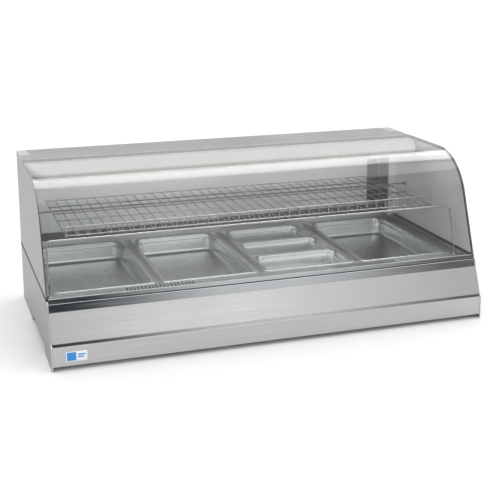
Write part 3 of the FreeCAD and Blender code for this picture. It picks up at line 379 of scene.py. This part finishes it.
def chamfered(node, material, width, steps=1, inner=None, facing=None):
    """Stand-in with the node's own shape, its long sharp edges broken, and its inner side apart."""
    source = frame["nodes"][node].data
    work = bmesh.new()
    points = [work.verts.new(vertex.co) for vertex in source.vertices]
    for polygon in source.polygons:
        work.faces.new([points[index] for index in polygon.vertices])
    bmesh.ops.remove_doubles(work, verts=work.verts, dist=0.001 * MM)
    bmesh.ops.dissolve_limit(work, angle_limit=FLAT_ANGLE, verts=work.verts, edges=work.edges)
    corners = []
    for edge in work.edges:
        if edge.is_manifold and edge.calc_face_angle() > CORNER_ANGLE and edge.calc_length() > SHORTEST_EDGE:
            corners.append(edge)
    bmesh.ops.bevel(work, geom=corners, offset=width, offset_type="OFFSET", segments=steps,
                    profile=0.5, affect="EDGES", clamp_overlap=True)
    materials = [material]
    if inner is not None:
        materials.append(inner)
        for face in work.faces:
            face.normal_update()
            face.material_index = 1 if face.normal.dot(Vector(facing)) > 0.8 else 0
    return stand_in(as_object(node + "_finished", work, materials, sharp=0.0), node)


def bridge(work, first, second):
    """Quads between two closed rings of vertices of the same length."""
    for index in range(len(first)):
        after = (index + 1) % len(first)
        work.faces.new((first[index], first[after], second[after], second[index]))


def rounded_line(points, bend):
    """Line through points with an arc of one radius at each inner corner."""
    line = [points[0]]
    for before, corner, after in zip(points, points[1:], points[2:]):
        back = (before - corner).normalized()
        ahead = (after - corner).normalized()
        half = back.angle(ahead) / 2
        centre = corner + (back + ahead).normalized() * (bend / math.sin(half))
        start = corner + back * (bend / math.tan(half)) - centre
        end = corner + ahead * (bend / math.tan(half)) - centre
        for step in range(ROD_BEND_STEPS + 1):
            line.append(centre + start.slerp(end, step / ROD_BEND_STEPS).normalized() * bend)
    return line + [points[-1]]


def add_tube(work, line, radius, side, sides=ROD_SIDES):
    """Round bar along a line that lies in the plane square to side, with domed ends."""
    def ring(place, tangent, size):
        other = tangent.cross(side).normalized()
        turns = [2 * math.pi * index / sides for index in range(sides)]
        return [work.verts.new(place + (side * math.cos(turn) + other * math.sin(turn)) * size)
                for turn in turns]

    tangents = [line[1] - line[0]]
    tangents += [after - before for before, after in zip(line, line[2:])]
    tangents.append(line[-1] - line[-2])
    tangents = [tangent.normalized() for tangent in tangents]
    dome = radius * 0.35
    rings = [ring(line[0], tangents[0], radius * 0.7)]
    rings.append(ring(line[0] + tangents[0] * dome, tangents[0], radius))
    rings += [ring(place, tangent, radius) for place, tangent in zip(line[1:-1], tangents[1:-1])]
    rings.append(ring(line[-1] - tangents[-1] * dome, tangents[-1], radius))
    rings.append(ring(line[-1], tangents[-1], radius * 0.7))
    for first, second in zip(rings, rings[1:]):
        bridge(work, first, second)
    work.faces.new(rings[0])
    work.faces.new(rings[-1])


def add_turned(work, profile, origin, axis, sides):
    """Turned solid: (distance along the axis, radius) pairs, closed by flat ends."""
    turn = Vector((0, 0, 1)).rotation_difference(axis).to_matrix()
    rings = []
    for along, radius in profile:
        ring = []
        for index in range(sides):
            angle = 2 * math.pi * index / sides
            spoke = Vector((radius * math.cos(angle), radius * math.sin(angle), along))
            ring.append(work.verts.new(origin + turn @ spoke))
        rings.append(ring)
    for first, second in zip(rings, rings[1:]):
        bridge(work, first, second)
    work.faces.new(rings[0])
    work.faces.new(rings[-1])


def add_block(work, low, high, edge=0.0, steps=2, material=0):
    """Box between two corners with round edges."""
    size = high - low
    place = Matrix.Translation((low + high) / 2) @ Matrix.Diagonal((*size, 1.0))
    made = bmesh.ops.create_cube(work, size=1.0, matrix=place)["verts"]
    edges = list(dict.fromkeys(link for vertex in made for link in vertex.link_edges))
    faces = {link for vertex in made for link in vertex.link_faces}
    if edge > 0:
        result = bmesh.ops.bevel(work, geom=edges, offset=edge, offset_type="OFFSET",
                                 segments=steps, profile=0.5, affect="EDGES", clamp_overlap=True)
        faces = {face for vertex in result["verts"] for face in vertex.link_faces}
        faces |= set(result["faces"])
    for face in faces:
        if face.is_valid:
            face.material_index = material


def extrude_section(work, outline, x_range):
    """Closed (y, z) outline drawn out along X."""
    rings = [[work.verts.new((x, *place)) for place in outline] for x in x_range]
    bridge(work, *rings)
    for ring in rings:
        work.faces.new(ring)


def arc(centre, radius, start, end, steps):
    """(y, z) points of an arc, with angles in radians from +Y towards +Z."""
    points = []
    for step in range(steps + 1):
        angle = start + (end - start) * step / steps
        points.append((centre[0] + radius * math.cos(angle), centre[1] + radius * math.sin(angle)))
    return points


# ---------------------------------------------------------------- curved glass
def glass_pane():
    """Bent pane with true round bend, clear faces and a dark green cut edge."""
    low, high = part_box("curved_glass")
    bend_z = TOP - BEND_RADIUS
    # the front of the pane leans, and the bend starts where it touches the leaning line
    foot = Vector((low.y, low.z))
    rise = bend_z + BEND_RADIUS * math.sin(GLASS_LEAN) - foot.y
    bend_y = foot.x + rise * math.tan(GLASS_LEAN) + BEND_RADIUS * math.cos(GLASS_LEAN)

    def line(inset):
        lean = inset / math.cos(GLASS_LEAN)
        shoulder_y = foot.x + (GLASS_SHOULDER - foot.y) * math.tan(GLASS_LEAN)
        points = [(foot.x + lean, foot.y), (shoulder_y + lean, GLASS_SHOULDER)]
        start = math.pi - GLASS_LEAN
        points += arc((bend_y, bend_z), BEND_RADIUS - inset, start, math.pi / 2, BEND_STEPS)
        return points + [(high.y, TOP - inset)]

    columns = [-HALF_WIDTH, -CLAMP_HALF, CLAMP_HALF, HALF_WIDTH]
    work = bmesh.new()
    skins = []
    for inset in (0.0, GLASS_THICK):
        rows = line(inset)
        skins.append([[work.verts.new((x, *place)) for place in rows] for x in columns])
    last_row = len(skins[0][0]) - 1
    cells = []
    for column in range(len(columns) - 1):
        for row in range(last_row):
            if row > 0 or column == 1:
                cells.append((column, row))
    borders = {}
    for skin, grid in enumerate(skins):
        for column, row in cells:
            corners = [(column, row), (column + 1, row), (column + 1, row + 1), (column, row + 1)]
            work.faces.new([grid[a][b] for a, b in corners])
            for first, second in zip(corners, corners[1:] + corners[:1]):
                key = frozenset((first, second))
                borders[key] = borders.get(key, 0) + (1 if skin == 0 else 0)
    for key, count in borders.items():
        if count == 1:
            (a, b), (c, d) = key
            rim = work.faces.new((skins[0][a][b], skins[0][c][d], skins[1][c][d], skins[1][a][b]))
            rim.material_index = 0 if b == d == last_row else 1
    unused = [vertex for vertex in work.verts if not vertex.link_faces]
    bmesh.ops.delete(work, geom=unused, context="VERTS")
    piece = as_object("curved_glass_pane", work, [glass_clear, glass_rim], sharp=50.0)
    return stand_in(piece, "curved_glass")


CLAMP_OUTLINE = (
    # depth and height from the rail's lower front corner, in mm
    (3.6, 3.0), (6.9, 16.4), (7.4, 17.0), (8.8, 17.1), (9.0, 16.4), (3.95, 2.2), (10.6, 2.2),
    (15.2, 14.5), (16.0, 15.2), (18.5, 15.2), (19.6, 14.8), (24.1, 9.4), (24.5, 8.4), (24.5, -7.3),
    (7.5, -7.3),
)
CLAMP_TOP = 15.2              # height of the CAD clamp in that outline
BEAD_OUTLINE = ((-0.6, 2.6), (-0.9, 4.6), (-0.2, 5.9), (4.3, 6.2), (4.0, 2.6))


def clamp_rail():
    """Bright rail that grips the glass, with a black bead along its foot."""
    low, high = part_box("glass_clamp_rail")

    def section(outline):
        work = bmesh.new()
        places = [(low.y + y * MM, high.z + (z - CLAMP_TOP) * MM) for y, z in outline]
        extrude_section(work, places, (low.x, high.x))
        return work

    rail = as_object("glass_clamp_rail_folded", section(CLAMP_OUTLINE), [rail_bright], sharp=18.0)
    stand_in(rail, "glass_clamp_rail")
    bead = as_object("glass_clamp_bead", section(BEAD_OUTLINE), [rubber])
    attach(bead, BODY["glass_clamp_rail"])


# ---------------------------------------------------------------- gastronorm pans
PAN_PROFILE = (
    # inset from the rim's outer edge, height above the rim's top, corner radius
    (0.0, -1.1, 14.0), (0.35, -0.35, 14.0), (1.2, 0.0, 14.0), (8.4, 0.0, 15.0),
    (10.0, -0.4, 22.0), (11.0, -1.5, 30.0), (11.6, -4.0, 36.0), (12.2, -14.5, 38.0),
    (12.9, -16.0, 38.0), (14.6, -17.0, 37.0), (15.2, -18.5, 36.5), (17.0, -50.0, 34.0),
)
PAN_FLOOR_ROUND = 13.0
PAN_LEAST_CORNER = 8.0
PAN_DEPTH = 65.0
PAN_WALL = 0.9


def gastronorm_pan(node):
    """Deep-drawn pan: rolled flat rim, a stacking step, tapered walls and a round floor edge."""
    low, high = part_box(node)
    middle = (low + high) / 2
    width, length = (high - low).xy

    def ring(inset, height, corner):
        half_x = width / 2 - inset * MM
        half_y = length / 2 - inset * MM
        corner = min(corner * MM, half_x, half_y)
        points = []
        for quarter, (side_x, side_y) in enumerate(((1, 1), (-1, 1), (-1, -1), (1, -1))):
            for step in range(CORNER_STEPS + 1):
                angle = (quarter + step / CORNER_STEPS) * math.pi / 2
                points.append(work.verts.new((
                    middle.x + side_x * (half_x - corner) + corner * math.cos(angle),
                    middle.y + side_y * (half_y - corner) + corner * math.sin(angle),
                    high.z + height * MM)))
        return points

    inside = list(PAN_PROFILE)
    inset, height, corner = inside[-1]
    floor_height = PAN_WALL - PAN_DEPTH
    for step in range(1, FLOOR_STEPS + 1):
        angle = step / FLOOR_STEPS * math.pi / 2
        reach = PAN_FLOOR_ROUND * (1 - math.cos(angle))
        drop = (height - floor_height) * math.sin(angle)
        inside.append((inset + reach, height - drop, max(corner - reach, PAN_LEAST_CORNER)))
    outside = [(0.0, -1.9, 14.0)]
    for inset, height, corner in inside[5:]:
        outside.append((inset - PAN_WALL, min(height - PAN_WALL / 2, -2.0), corner + PAN_WALL))
    outside[-1] = (outside[-1][0], -PAN_DEPTH, outside[-1][2])
    work = bmesh.new()
    rings = [ring(*place) for place in outside[::-1] + inside]
    for first, second in zip(rings, rings[1:]):
        bridge(work, first, second)
    work.faces.new(rings[0])
    work.faces.new(rings[-1])
    return stand_in(as_object(node + "_drawn", work, [pan_satin], sharp=50.0), node)


# ---------------------------------------------------------------- rack
def welded_rack():
    """Round wires bent up into a lip at the front, welded to round cross wires."""
    low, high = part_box("wire_rack")
    half = high.x - 2 * CROSS
    front = low.y + WIRE
    wire_z = low.z + WIRE
    lip = high.z + RACK_LIP
    work = bmesh.new()
    for index in range(RACK_WIRES):
        x = half * (2 * index / (RACK_WIRES - 1) - 1)
        places = [Vector((x, high.y, wire_z)), Vector((x, front, wire_z)), Vector((x, front, lip))]
        add_tube(work, rounded_line(places, RACK_BEND), WIRE, X_AXIS)
    rear = high.y - 2 * CROSS
    first = front + RACK_BEND + 2 * CROSS
    cross_z = wire_z + WIRE + CROSS
    heights = [(first + (rear - first) * index / (RACK_CROSSES - 1), cross_z)
               for index in range(RACK_CROSSES)]
    heights.append((front + WIRE + CROSS, lip - CROSS))
    for y, z in heights:
        ends = [Vector((low.x, y, z - 0.05 * MM)), Vector((high.x, y, z - 0.05 * MM))]
        add_tube(work, ends, CROSS, Vector((0, 0, 1)))
    return stand_in(as_object("wire_rack_welded", work, [wire_plated], sharp=60.0), "wire_rack")


def rack_supports():
    """The bent front support on its foot plates, and the rear rod between its bosses."""
    low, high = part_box("rack_support_front")
    foot_radius = 9 * MM
    foot_plate = 2 * MM
    x = high.x - foot_radius
    foot_y = low.y + foot_radius
    top = Vector((x, high.y - SUPPORT_ROD, high.z - SUPPORT_ROD))
    foot = Vector((x, foot_y, low.z))
    mirror = Vector((-1, 1, 1))
    places = [foot * mirror, top * mirror, top, foot]
    leg = (top - foot).normalized()
    work = bmesh.new()
    add_tube(work, rounded_line(places, SUPPORT_BEND), SUPPORT_ROD, X_AXIS.cross(leg).normalized())
    profile = ((0, foot_radius - 0.3 * MM), (0.4 * MM, foot_radius), (foot_plate - 0.6 * MM, foot_radius),
               (foot_plate, foot_radius - 0.8 * MM), (foot_plate, SUPPORT_ROD + 1.5 * MM),
               (foot_plate + 1.5 * MM, SUPPORT_ROD * 1.02))
    for side in (-1, 1):
        add_turned(work, profile, Vector((side * x, foot_y, low.z)), Vector((0, 0, 1)), 28)
    stand_in(as_object("rack_support_front_bent", work, [wire_plated], sharp=40.0), "rack_support_front")

    low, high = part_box("rack_support_rear")
    middle = (low + high) / 2
    boss = (high.z - low.z) / 2
    work = bmesh.new()
    ends = [Vector((side, middle.y, middle.z)) for side in (low.x, high.x)]
    add_tube(work, ends, SUPPORT_ROD, Vector((0, 0, 1)))
    cup = ((0, boss), (3.8 * MM, boss), (5 * MM, boss - 1.2 * MM), (5 * MM, SUPPORT_ROD * 1.02))
    for end, axis in zip(ends, (X_AXIS, -X_AXIS)):
        add_turned(work, cup, end, axis, 28)
    stand_in(as_object("rack_support_rear_rod", work, [wire_plated], sharp=40.0), "rack_support_rear")


# ---------------------------------------------------------------- lamp canopy
def canopy_roof(high, y):
    """Height of the cover's outer face at some depth, with the bead along its ridge."""
    top = high.z - BEAD_RISE
    ridge = high.y - CANOPY_RIDGE
    if y > ridge + BEAD_HALF:
        return top
    if y > ridge - BEAD_HALF:
        return top + BEAD_RISE * math.sin(math.pi * (ridge + BEAD_HALF - y) / (2 * BEAD_HALF))
    return top - CANOPY_FALL * (ridge - BEAD_HALF - y) / CANOPY_FACE


def canopy_section(x, skin):
    """(y, z) points of the cover at one place along X, from the rear flange to the lower edge."""
    low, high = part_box("lamp_canopy")
    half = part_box("lamp_end_caps")[1].x
    straight = half - CANOPY_TAPER
    depth = high.y - low.y
    reach = max(0.0, (abs(x) - straight) / CANOPY_TAPER)
    front = high.y - depth * (1 - min(reach, 1.0) ** CAP_POWER) ** (1 / CAP_POWER) + skin
    ridge = high.y - CANOPY_RIDGE
    places = [high.y - CANOPY_BACK, ridge + 20 * MM]
    places += [ridge + BEAD_HALF * (1 - 2 * step / BEAD_STEPS) for step in range(BEAD_STEPS + 1)]
    places += [ridge - BEAD_HALF - CANOPY_FACE * step / 4 for step in range(1, 5)]
    nose = min(front + CANOPY_NOSE, high.y - CANOPY_BACK)
    line = [(high.y - skin, low.z), (high.y - skin, high.z + CANOPY_FLANGE - skin)]
    line.append((high.y - CANOPY_HEM - skin, high.z + CANOPY_FLANGE - skin))
    line += [(max(y, nose), canopy_roof(high, max(y, nose)) - skin) for y in places]
    crown = canopy_roof(high, nose) - skin
    for step in range(1, NOSE_STEPS + 1):
        angle = step / NOSE_STEPS * math.pi / 2
        line.append((front + (nose - front) * (1 - math.sin(angle)),
                     crown - CANOPY_NOSE * (1 - math.cos(angle))))
    return line + [(front, low.z + CANOPY_SHADE_BAND), (front, low.z)]


def canopy_cover(stations):
    """Painted sheet through the sections at some places along X, with a dark brown band below that is
    painted shade.
    """
    work = bmesh.new()
    outer = [[work.verts.new((x, *place)) for place in canopy_section(x, 0.0)] for x in stations]
    inner = [[work.verts.new((x, *place)) for place in canopy_section(x, CANOPY_SKIN)] for x in stations]
    last = len(outer[0]) - 1
    rows = list(zip(outer, outer[1:])) + list(zip(inner[1:], inner))
    for first, second in rows:
        for index in range(last):
            face = work.faces.new((first[index], first[index + 1], second[index + 1], second[index]))
            # the strip along the lower edge of each section takes the painted shade band
            face.material_index = 1 if index == last - 1 else 0
    for near, far in zip(zip(outer, inner), zip(outer[1:], inner[1:])):
        for index in (0, last):
            work.faces.new((near[0][index], far[0][index], far[1][index], near[1][index]))
    for end in (0, -1):
        for index in range(last):
            work.faces.new((outer[end][index], outer[end][index + 1], inner[end][index + 1],
                            inner[end][index]))
    bmesh.ops.remove_doubles(work, verts=work.verts, dist=0.01 * MM)
    return work


def canopy():
    """Canopy sheet between its two end caps, which curve back towards the rear."""
    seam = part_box("lamp_canopy")[1].x
    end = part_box("lamp_end_caps")[1].x
    straight = end - CANOPY_TAPER
    middle = [-seam, -(seam + straight) / 2, -straight, straight, (seam + straight) / 2, seam]
    looks = [cream_paint, painted_shade_band]
    stand_in(as_object("lamp_canopy_painted", canopy_cover(middle), looks, sharp=24.0), "lamp_canopy")
    start = seam + CAP_GAP
    steps = [math.sin(step / CAP_STEPS * math.pi / 2) for step in range(CAP_STEPS + 1)]
    side = [start + (end - start) * step for step in steps]
    caps = canopy_cover(side)
    other = canopy_cover([-x for x in side])
    mesh = bpy.data.meshes.new("cap_copy")
    other.to_mesh(mesh)
    other.free()
    caps.from_mesh(mesh)
    bpy.data.meshes.remove(mesh)
    stand_in(as_object("lamp_end_caps_curved", caps, looks, sharp=24.0), "lamp_end_caps")


def lamp_sockets():
    """Lamp holders whose tops follow the slope of the cover they hang from."""
    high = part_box("lamp_canopy")[1]
    work = bmesh.new()
    work.from_mesh(frame["nodes"]["lamp_holders"].data)
    for vertex in work.verts:
        ceiling = canopy_roof(high, vertex.co.y) - CANOPY_SKIN - 0.5 * MM
        vertex.co.z = min(vertex.co.z, ceiling)
    stand_in(as_object("lamp_holders_fitted", work, [ceramic_glaze], sharp=40.0), "lamp_holders")


# ---------------------------------------------------------------- front details
def reveal_strip():
    """Bright strip in the groove between the front panels, leaning back like the rail above."""
    low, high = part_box("front_reveal_strip")
    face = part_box("front_panel_lower")[0].y
    foot = face + 1.6 * MM
    crest = high.z + 3.0 * MM
    lean = 2.4 * MM
    outline = [(foot, low.z - 0.8 * MM), (high.y, low.z - 0.8 * MM), (high.y, high.z),
               (foot + lean + 3.4 * MM, crest), (foot + lean + 0.3 * MM, crest),
               (foot + lean, crest - 0.3 * MM)]
    work = bmesh.new()
    extrude_section(work, outline, (low.x, high.x))
    piece = as_object("front_reveal_bright", work, [rail_bright], sharp=18.0)
    stand_in(piece, "front_reveal_strip")


def waist_seals():
    """Rubber profile clipped over the joint of the lower and upper end panels."""
    low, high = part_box("waist_gaskets")
    outer = high.x + 1.3 * MM
    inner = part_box("front_panel_lower")[1].x - 2 * MM
    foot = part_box("lower_end_panel_left")[1].z - 2.5 * MM
    front = low.y - 14 * MM
    outline = [(front, foot), (high.y, foot), (high.y, high.z + 2 * MM), (low.y, high.z + 2 * MM),
               (low.y - 2 * MM, high.z - 1.8 * MM), (front, high.z - 1.8 * MM)]
    work = bmesh.new()
    extrude_section(work, outline, (-outer, -inner))
    extrude_section(work, outline, (inner, outer))
    stand_in(as_object("waist_seals_clipped", work, [rubber]), "waist_gaskets")


def name_plate():
    """Plain plate with round corners: a blue field at the left and plain bars at the right."""
    low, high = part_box("name_plate")
    size = high - low
    relief = 0.3 * MM
    work = bmesh.new()
    add_block(work, low, high, edge=0.35 * MM, material=1)
    raised = [(0.04, 0.48, 0.08, 0.92), (0.56, 0.92, 0.58, 0.72), (0.56, 0.84, 0.34, 0.48)]
    for left, right, bottom, top in raised:
        start = Vector((low.x + size.x * left, low.y - relief, low.z + size.z * bottom))
        end = Vector((low.x + size.x * right, low.y + relief, low.z + size.z * top))
        add_block(work, start, end, edge=0.25 * MM)
    piece = as_object("name_plate_plain", work, [blue_enamel, white_enamel])
    return stand_in(piece, "name_plate")


def control_knob():
    """Thermostat knob with a fluted skirt and a pointer line, and its dial ring behind it."""
    low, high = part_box("thermostat_knob")
    middle = (low + high) / 2
    origin = Vector((middle.x, low.y, middle.z))
    radius = (high.x - low.x) / 2
    axis = Vector((0, 1, 0))
    work = bmesh.new()
    profile = ((0, radius - 0.6 * MM), (0.6 * MM, radius), (3.2 * MM, radius), (4 * MM, radius - 0.8 * MM),
               (4.6 * MM, 13.2 * MM), (12 * MM, 12 * MM), (13 * MM, 11 * MM))
    add_turned(work, profile, origin, axis, 48)
    for index in range(FLUTES):
        angle = 2 * math.pi * index / FLUTES
        spoke = Vector((math.cos(angle), 0, math.sin(angle)))
        place = origin + spoke * 12.4 * MM
        add_tube(work, [place + axis * 4.2 * MM, place + axis * 12 * MM], 1.1 * MM,
                 axis.cross(spoke).normalized(), 8)
    bar_low = origin + Vector((-4 * MM, 0.5 * MM, -radius + 2 * MM))
    bar_high = origin + Vector((4 * MM, high.y - low.y, radius - 2 * MM))
    line_low = Vector((origin.x - 0.8 * MM, high.y - 0.3 * MM, origin.z + 4 * MM))
    line_high = Vector((origin.x + 0.8 * MM, high.y + 0.15 * MM, bar_high.z - 1.5 * MM))
    add_block(work, line_low, line_high, material=1)
    # the bar comes last: faces made after a bevel take up freed places in no fixed order
    add_block(work, bar_low, bar_high, edge=1.2 * MM, steps=3)
    piece = as_object("thermostat_knob_fluted", work, [black_grained, white_enamel], sharp=40.0)
    stand_in(piece, "thermostat_knob")

    work = bmesh.new()
    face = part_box("rear_panel")[1].y
    for index in range(DIAL_MARKS):
        angle = math.radians(DIAL_START + DIAL_STEP * index)
        spoke = Vector((math.sin(angle), 0, math.cos(angle)))
        start = Vector((origin.x, face, origin.z)) + spoke * (radius + 3 * MM)
        length = 5 * MM if index % 5 == 0 else 3 * MM
        add_tube(work, [start, start + spoke * length], 0.6 * MM, Vector((0, 1, 0)), 6)
    dial = as_object("thermostat_dial_marks", work, [black_grained])
    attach(dial, BODY["rear_panel"])


# ---------------------------------------------------------------- door seals
def door_seals():
    """Black brush strip along the outer end of each door, where it meets its post."""
    for side, node in ((-1, "door_left"), (1, "door_right")):
        low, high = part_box(node)
        outer = high.x if side > 0 else low.x
        middle = (low.y + high.y) / 2
        ends = sorted((outer - side * 0.5 * MM, outer + side * SEAL_REACH))
        work = bmesh.new()
        add_block(work, Vector((ends[0], middle - SEAL_HALF, low.z + SEAL_INSET)),
                  Vector((ends[1], middle + SEAL_HALF, high.z - SEAL_INSET)), edge=0.8 * MM, steps=3)
        seal = as_object(node + "_seal", work, [rubber])
        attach(seal, BODY[node])


def grip_cover():
    """Steel plate that closes the left door's grip on the side of the food."""
    low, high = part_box("door_grip_left")
    face = low.y
    margin = Vector((3 * MM, 0, 3 * MM))
    start = Vector((low.x, face - 0.8 * MM, low.z)) - margin
    end = Vector((high.x, face + 0.2 * MM, high.z)) + margin
    work = bmesh.new()
    add_block(work, start, end, edge=0.4 * MM, steps=2)
    # the cover takes the lighter inside steel: painted light
    cover = as_object("door_grip_left_cover", work, [steel_satin_lit])
    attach(cover, BODY["door_left"])


# ---------------------------------------------------------------- what stays as CAD made it
def dress_cad_nodes():
    """Materials for the CAD nodes that still show."""
    for name, node in frame["nodes"].items():
        if node.hide_render:
            continue
        node.data.materials.clear()
        node.data.materials.append(BY_SLOT[SLOT[name]])


def refine_casing():
    """Stand-ins with broken edges for the sheet metal, the tracks, the doors and the door grips."""
    for side, inward in (("left", (1, 0, 0)), ("right", (-1, 0, 0))):
        chamfered("lower_end_panel_" + side, steel_upright, BROKEN_EDGE)
        # inner faces take the lighter satin steel: painted light
        chamfered("upper_end_panel_" + side, steel_upright, BROKEN_EDGE, inner=steel_satin_lit, facing=inward)
        chamfered("rear_post_" + side, steel_upright, BROKEN_EDGE, inner=steel_satin_lit, facing=(0, -1, 0))
        chamfered("door_" + side, steel_upright, BROKEN_EDGE, inner=steel_satin_lit, facing=(0, -1, 0))
    # the lower front panel takes the darker copy of the steel: painted shade
    chamfered("front_panel_lower", steel_low_shaded, 1.2 * MM, steps=2)
    chamfered("front_panel_upper", steel_long, 0.9 * MM, steps=2)
    # the rear top rail takes the darker copy of the steel: painted shade
    chamfered("rear_top_rail", steel_top_shaded, BROKEN_EDGE)
    chamfered("front_rail", rail_bright, BROKEN_EDGE)
    chamfered("rear_sill_track", dark_metal, BROKEN_EDGE)
    for node in ("door_grip_left", "door_grip_right"):
        chamfered(node, black_grained, 0.9 * MM, steps=3)


# ---------------------------------------------------------------- studio
def soft_light(name, place, aim, size, power, colour=(1, 1, 1)):
    light = bpy.data.lights.new(name, "AREA")
    light.shape = "RECTANGLE"
    light.size, light.size_y = size
    light.energy = power
    light.color = colour
    lamp = bpy.data.objects.new(name, light)
    lamp.location = place
    lamp.rotation_euler = (Vector(aim) - Vector(place)).to_track_quat("-Z", "Y").to_euler()
    lamp.visible_camera = False
    bpy.context.scene.collection.objects.link(lamp)
    return lamp


def plain_card(name, low, high, stops):
    """Upright card in front of the case that only shows in what it gleams on."""
    finish = Finish(name)
    finish.tree.nodes.remove(finish.shader)
    split = finish.add("ShaderNodeSeparateXYZ")
    finish.join(finish.place, split.inputs["Vector"])
    across = finish.add("ShaderNodeMapRange", From_Min=low.x, From_Max=high.x)
    finish.join(split.outputs["X"], across.inputs["Value"])
    ramp = finish.tree.nodes.new("ShaderNodeValToRGB")
    finish.join(across.outputs["Result"], ramp.inputs["Fac"])
    while len(ramp.color_ramp.elements) < len(stops):
        ramp.color_ramp.elements.new(0.5)
    for element, (place, colour) in zip(ramp.color_ramp.elements, stops):
        element.position = (place - low.x) / (high.x - low.x)
        element.color = (*colour, 1.0)
    glow = finish.add("ShaderNodeEmission")
    finish.join(ramp.outputs["Color"], glow.inputs["Color"])
    output = finish.tree.nodes["Material Output"]
    finish.join(glow.outputs["Emission"], output.inputs["Surface"])
    work = bmesh.new()
    corners = ((low.x, low.z), (high.x, low.z), (high.x, high.z), (low.x, high.z))
    work.faces.new([work.verts.new((x, low.y, z)) for x, z in corners])
    card = as_object(name, work, [finish.material])
    card.visible_camera = False
    card.visible_diffuse = False
    card.visible_shadow = False
    card.visible_transmission = False


def studio():
    """Plain pale floor, a white world, a soft sun, a long soft box, a canopy light and two cards."""
    floor = moulded("floor_paper", FLOOR_PAPER, 0.85, grain=400.0, depth=0.01 * MM, uneven=0.01)
    work = bmesh.new()
    corners = ((-1, -1), (1, -1), (1, 1), (-1, 1))
    work.faces.new([work.verts.new((x * FLOOR_REACH, y * FLOOR_REACH, 0.0)) for x, y in corners])
    as_object("studio_floor", work, [floor])
    world = bpy.data.worlds.new("studio_world")
    world.use_nodes = True
    sky = world.node_tree.nodes["Background"]
    sky.inputs["Color"].default_value = (1.0, 1.0, 1.0, 1.0)
    sky.inputs["Strength"].default_value = WORLD_LIGHT
    bpy.context.scene.world = world
    box = soft_light("overhead_box", BOX_PLACE, BOX_AIM, BOX_SIZE, BOX_POWER)
    box.visible_diffuse = False
    key = bpy.data.lights.new("key", "SUN")
    key.energy = SUN_STRENGTH
    key.angle = SUN_SOFTNESS
    sun = bpy.data.objects.new("key", key)
    sun.rotation_euler = SUN_WAY.to_track_quat("-Z", "Y").to_euler()
    bpy.context.scene.collection.objects.link(sun)
    # a plain sweep for the polished rails to gleam in: dark, then light, then brown
    teal = (0.04, 0.05, 0.055)
    bright = (0.8, 0.8, 0.8)
    brown = (0.17, 0.15, 0.15)
    stops = ((-3.0, teal), (0.3, teal), (1.5, bright), (2.3, bright), (3.8, brown), (7.0, brown))
    plain_card("rail_card", Vector((-3.0, -6.3, 0.45)), Vector((7.0, -6.3, 1.5)), stops)
    # a broad, softer sweep of light for the sloping front above it
    dim = (0.54, 0.54, 0.55)
    warm = (0.55, 0.535, 0.525)
    stops = ((-5.0, dim), (-0.6, dim), (1.7, (1.5, 1.5, 1.5)), (4.2, warm), (8.0, warm))
    plain_card("panel_card", Vector((-5.0, -6.4, 1.7)), Vector((8.0, -6.4, 6.5)), stops)
    glow = soft_light("canopy_glow", GLOW_PLACE, GLOW_AIM, GLOW_SIZE, GLOW_POWER, GLOW_COLOUR)
    glow.visible_glossy = False
    bpy.context.scene.view_settings.view_transform = "Standard"


def camera():
    data = bpy.data.cameras.new("photo_camera")
    data.sensor_width = 36.0
    data.lens = CAMERA_LENS
    data.shift_y = CAMERA_SHIFT
    data.clip_end = 100.0
    view = bpy.data.objects.new("photo_camera", data)
    yaw = Matrix.Rotation(-CAMERA_YAW, 4, "Z")
    pitch = Matrix.Rotation(math.pi / 2 - CAMERA_PITCH, 4, "X")
    roll = Matrix.Rotation(CAMERA_ROLL, 4, "Z")
    view.matrix_world = Matrix.Translation(CAMERA_PLACE) @ yaw @ pitch @ roll
    bpy.context.scene.collection.objects.link(view)
    bpy.context.scene.camera = view


camera()
studio()
glass_pane()
clamp_rail()
for pan in ("pan_1", "pan_2", "pan_3_front", "pan_3_middle", "pan_3_rear", "pan_4"):
    gastronorm_pan(pan)
welded_rack()
rack_supports()
canopy()
lamp_sockets()
reveal_strip()
waist_seals()
name_plate()
control_knob()
door_seals()
grip_cover()
refine_casing()
dress_cad_nodes()
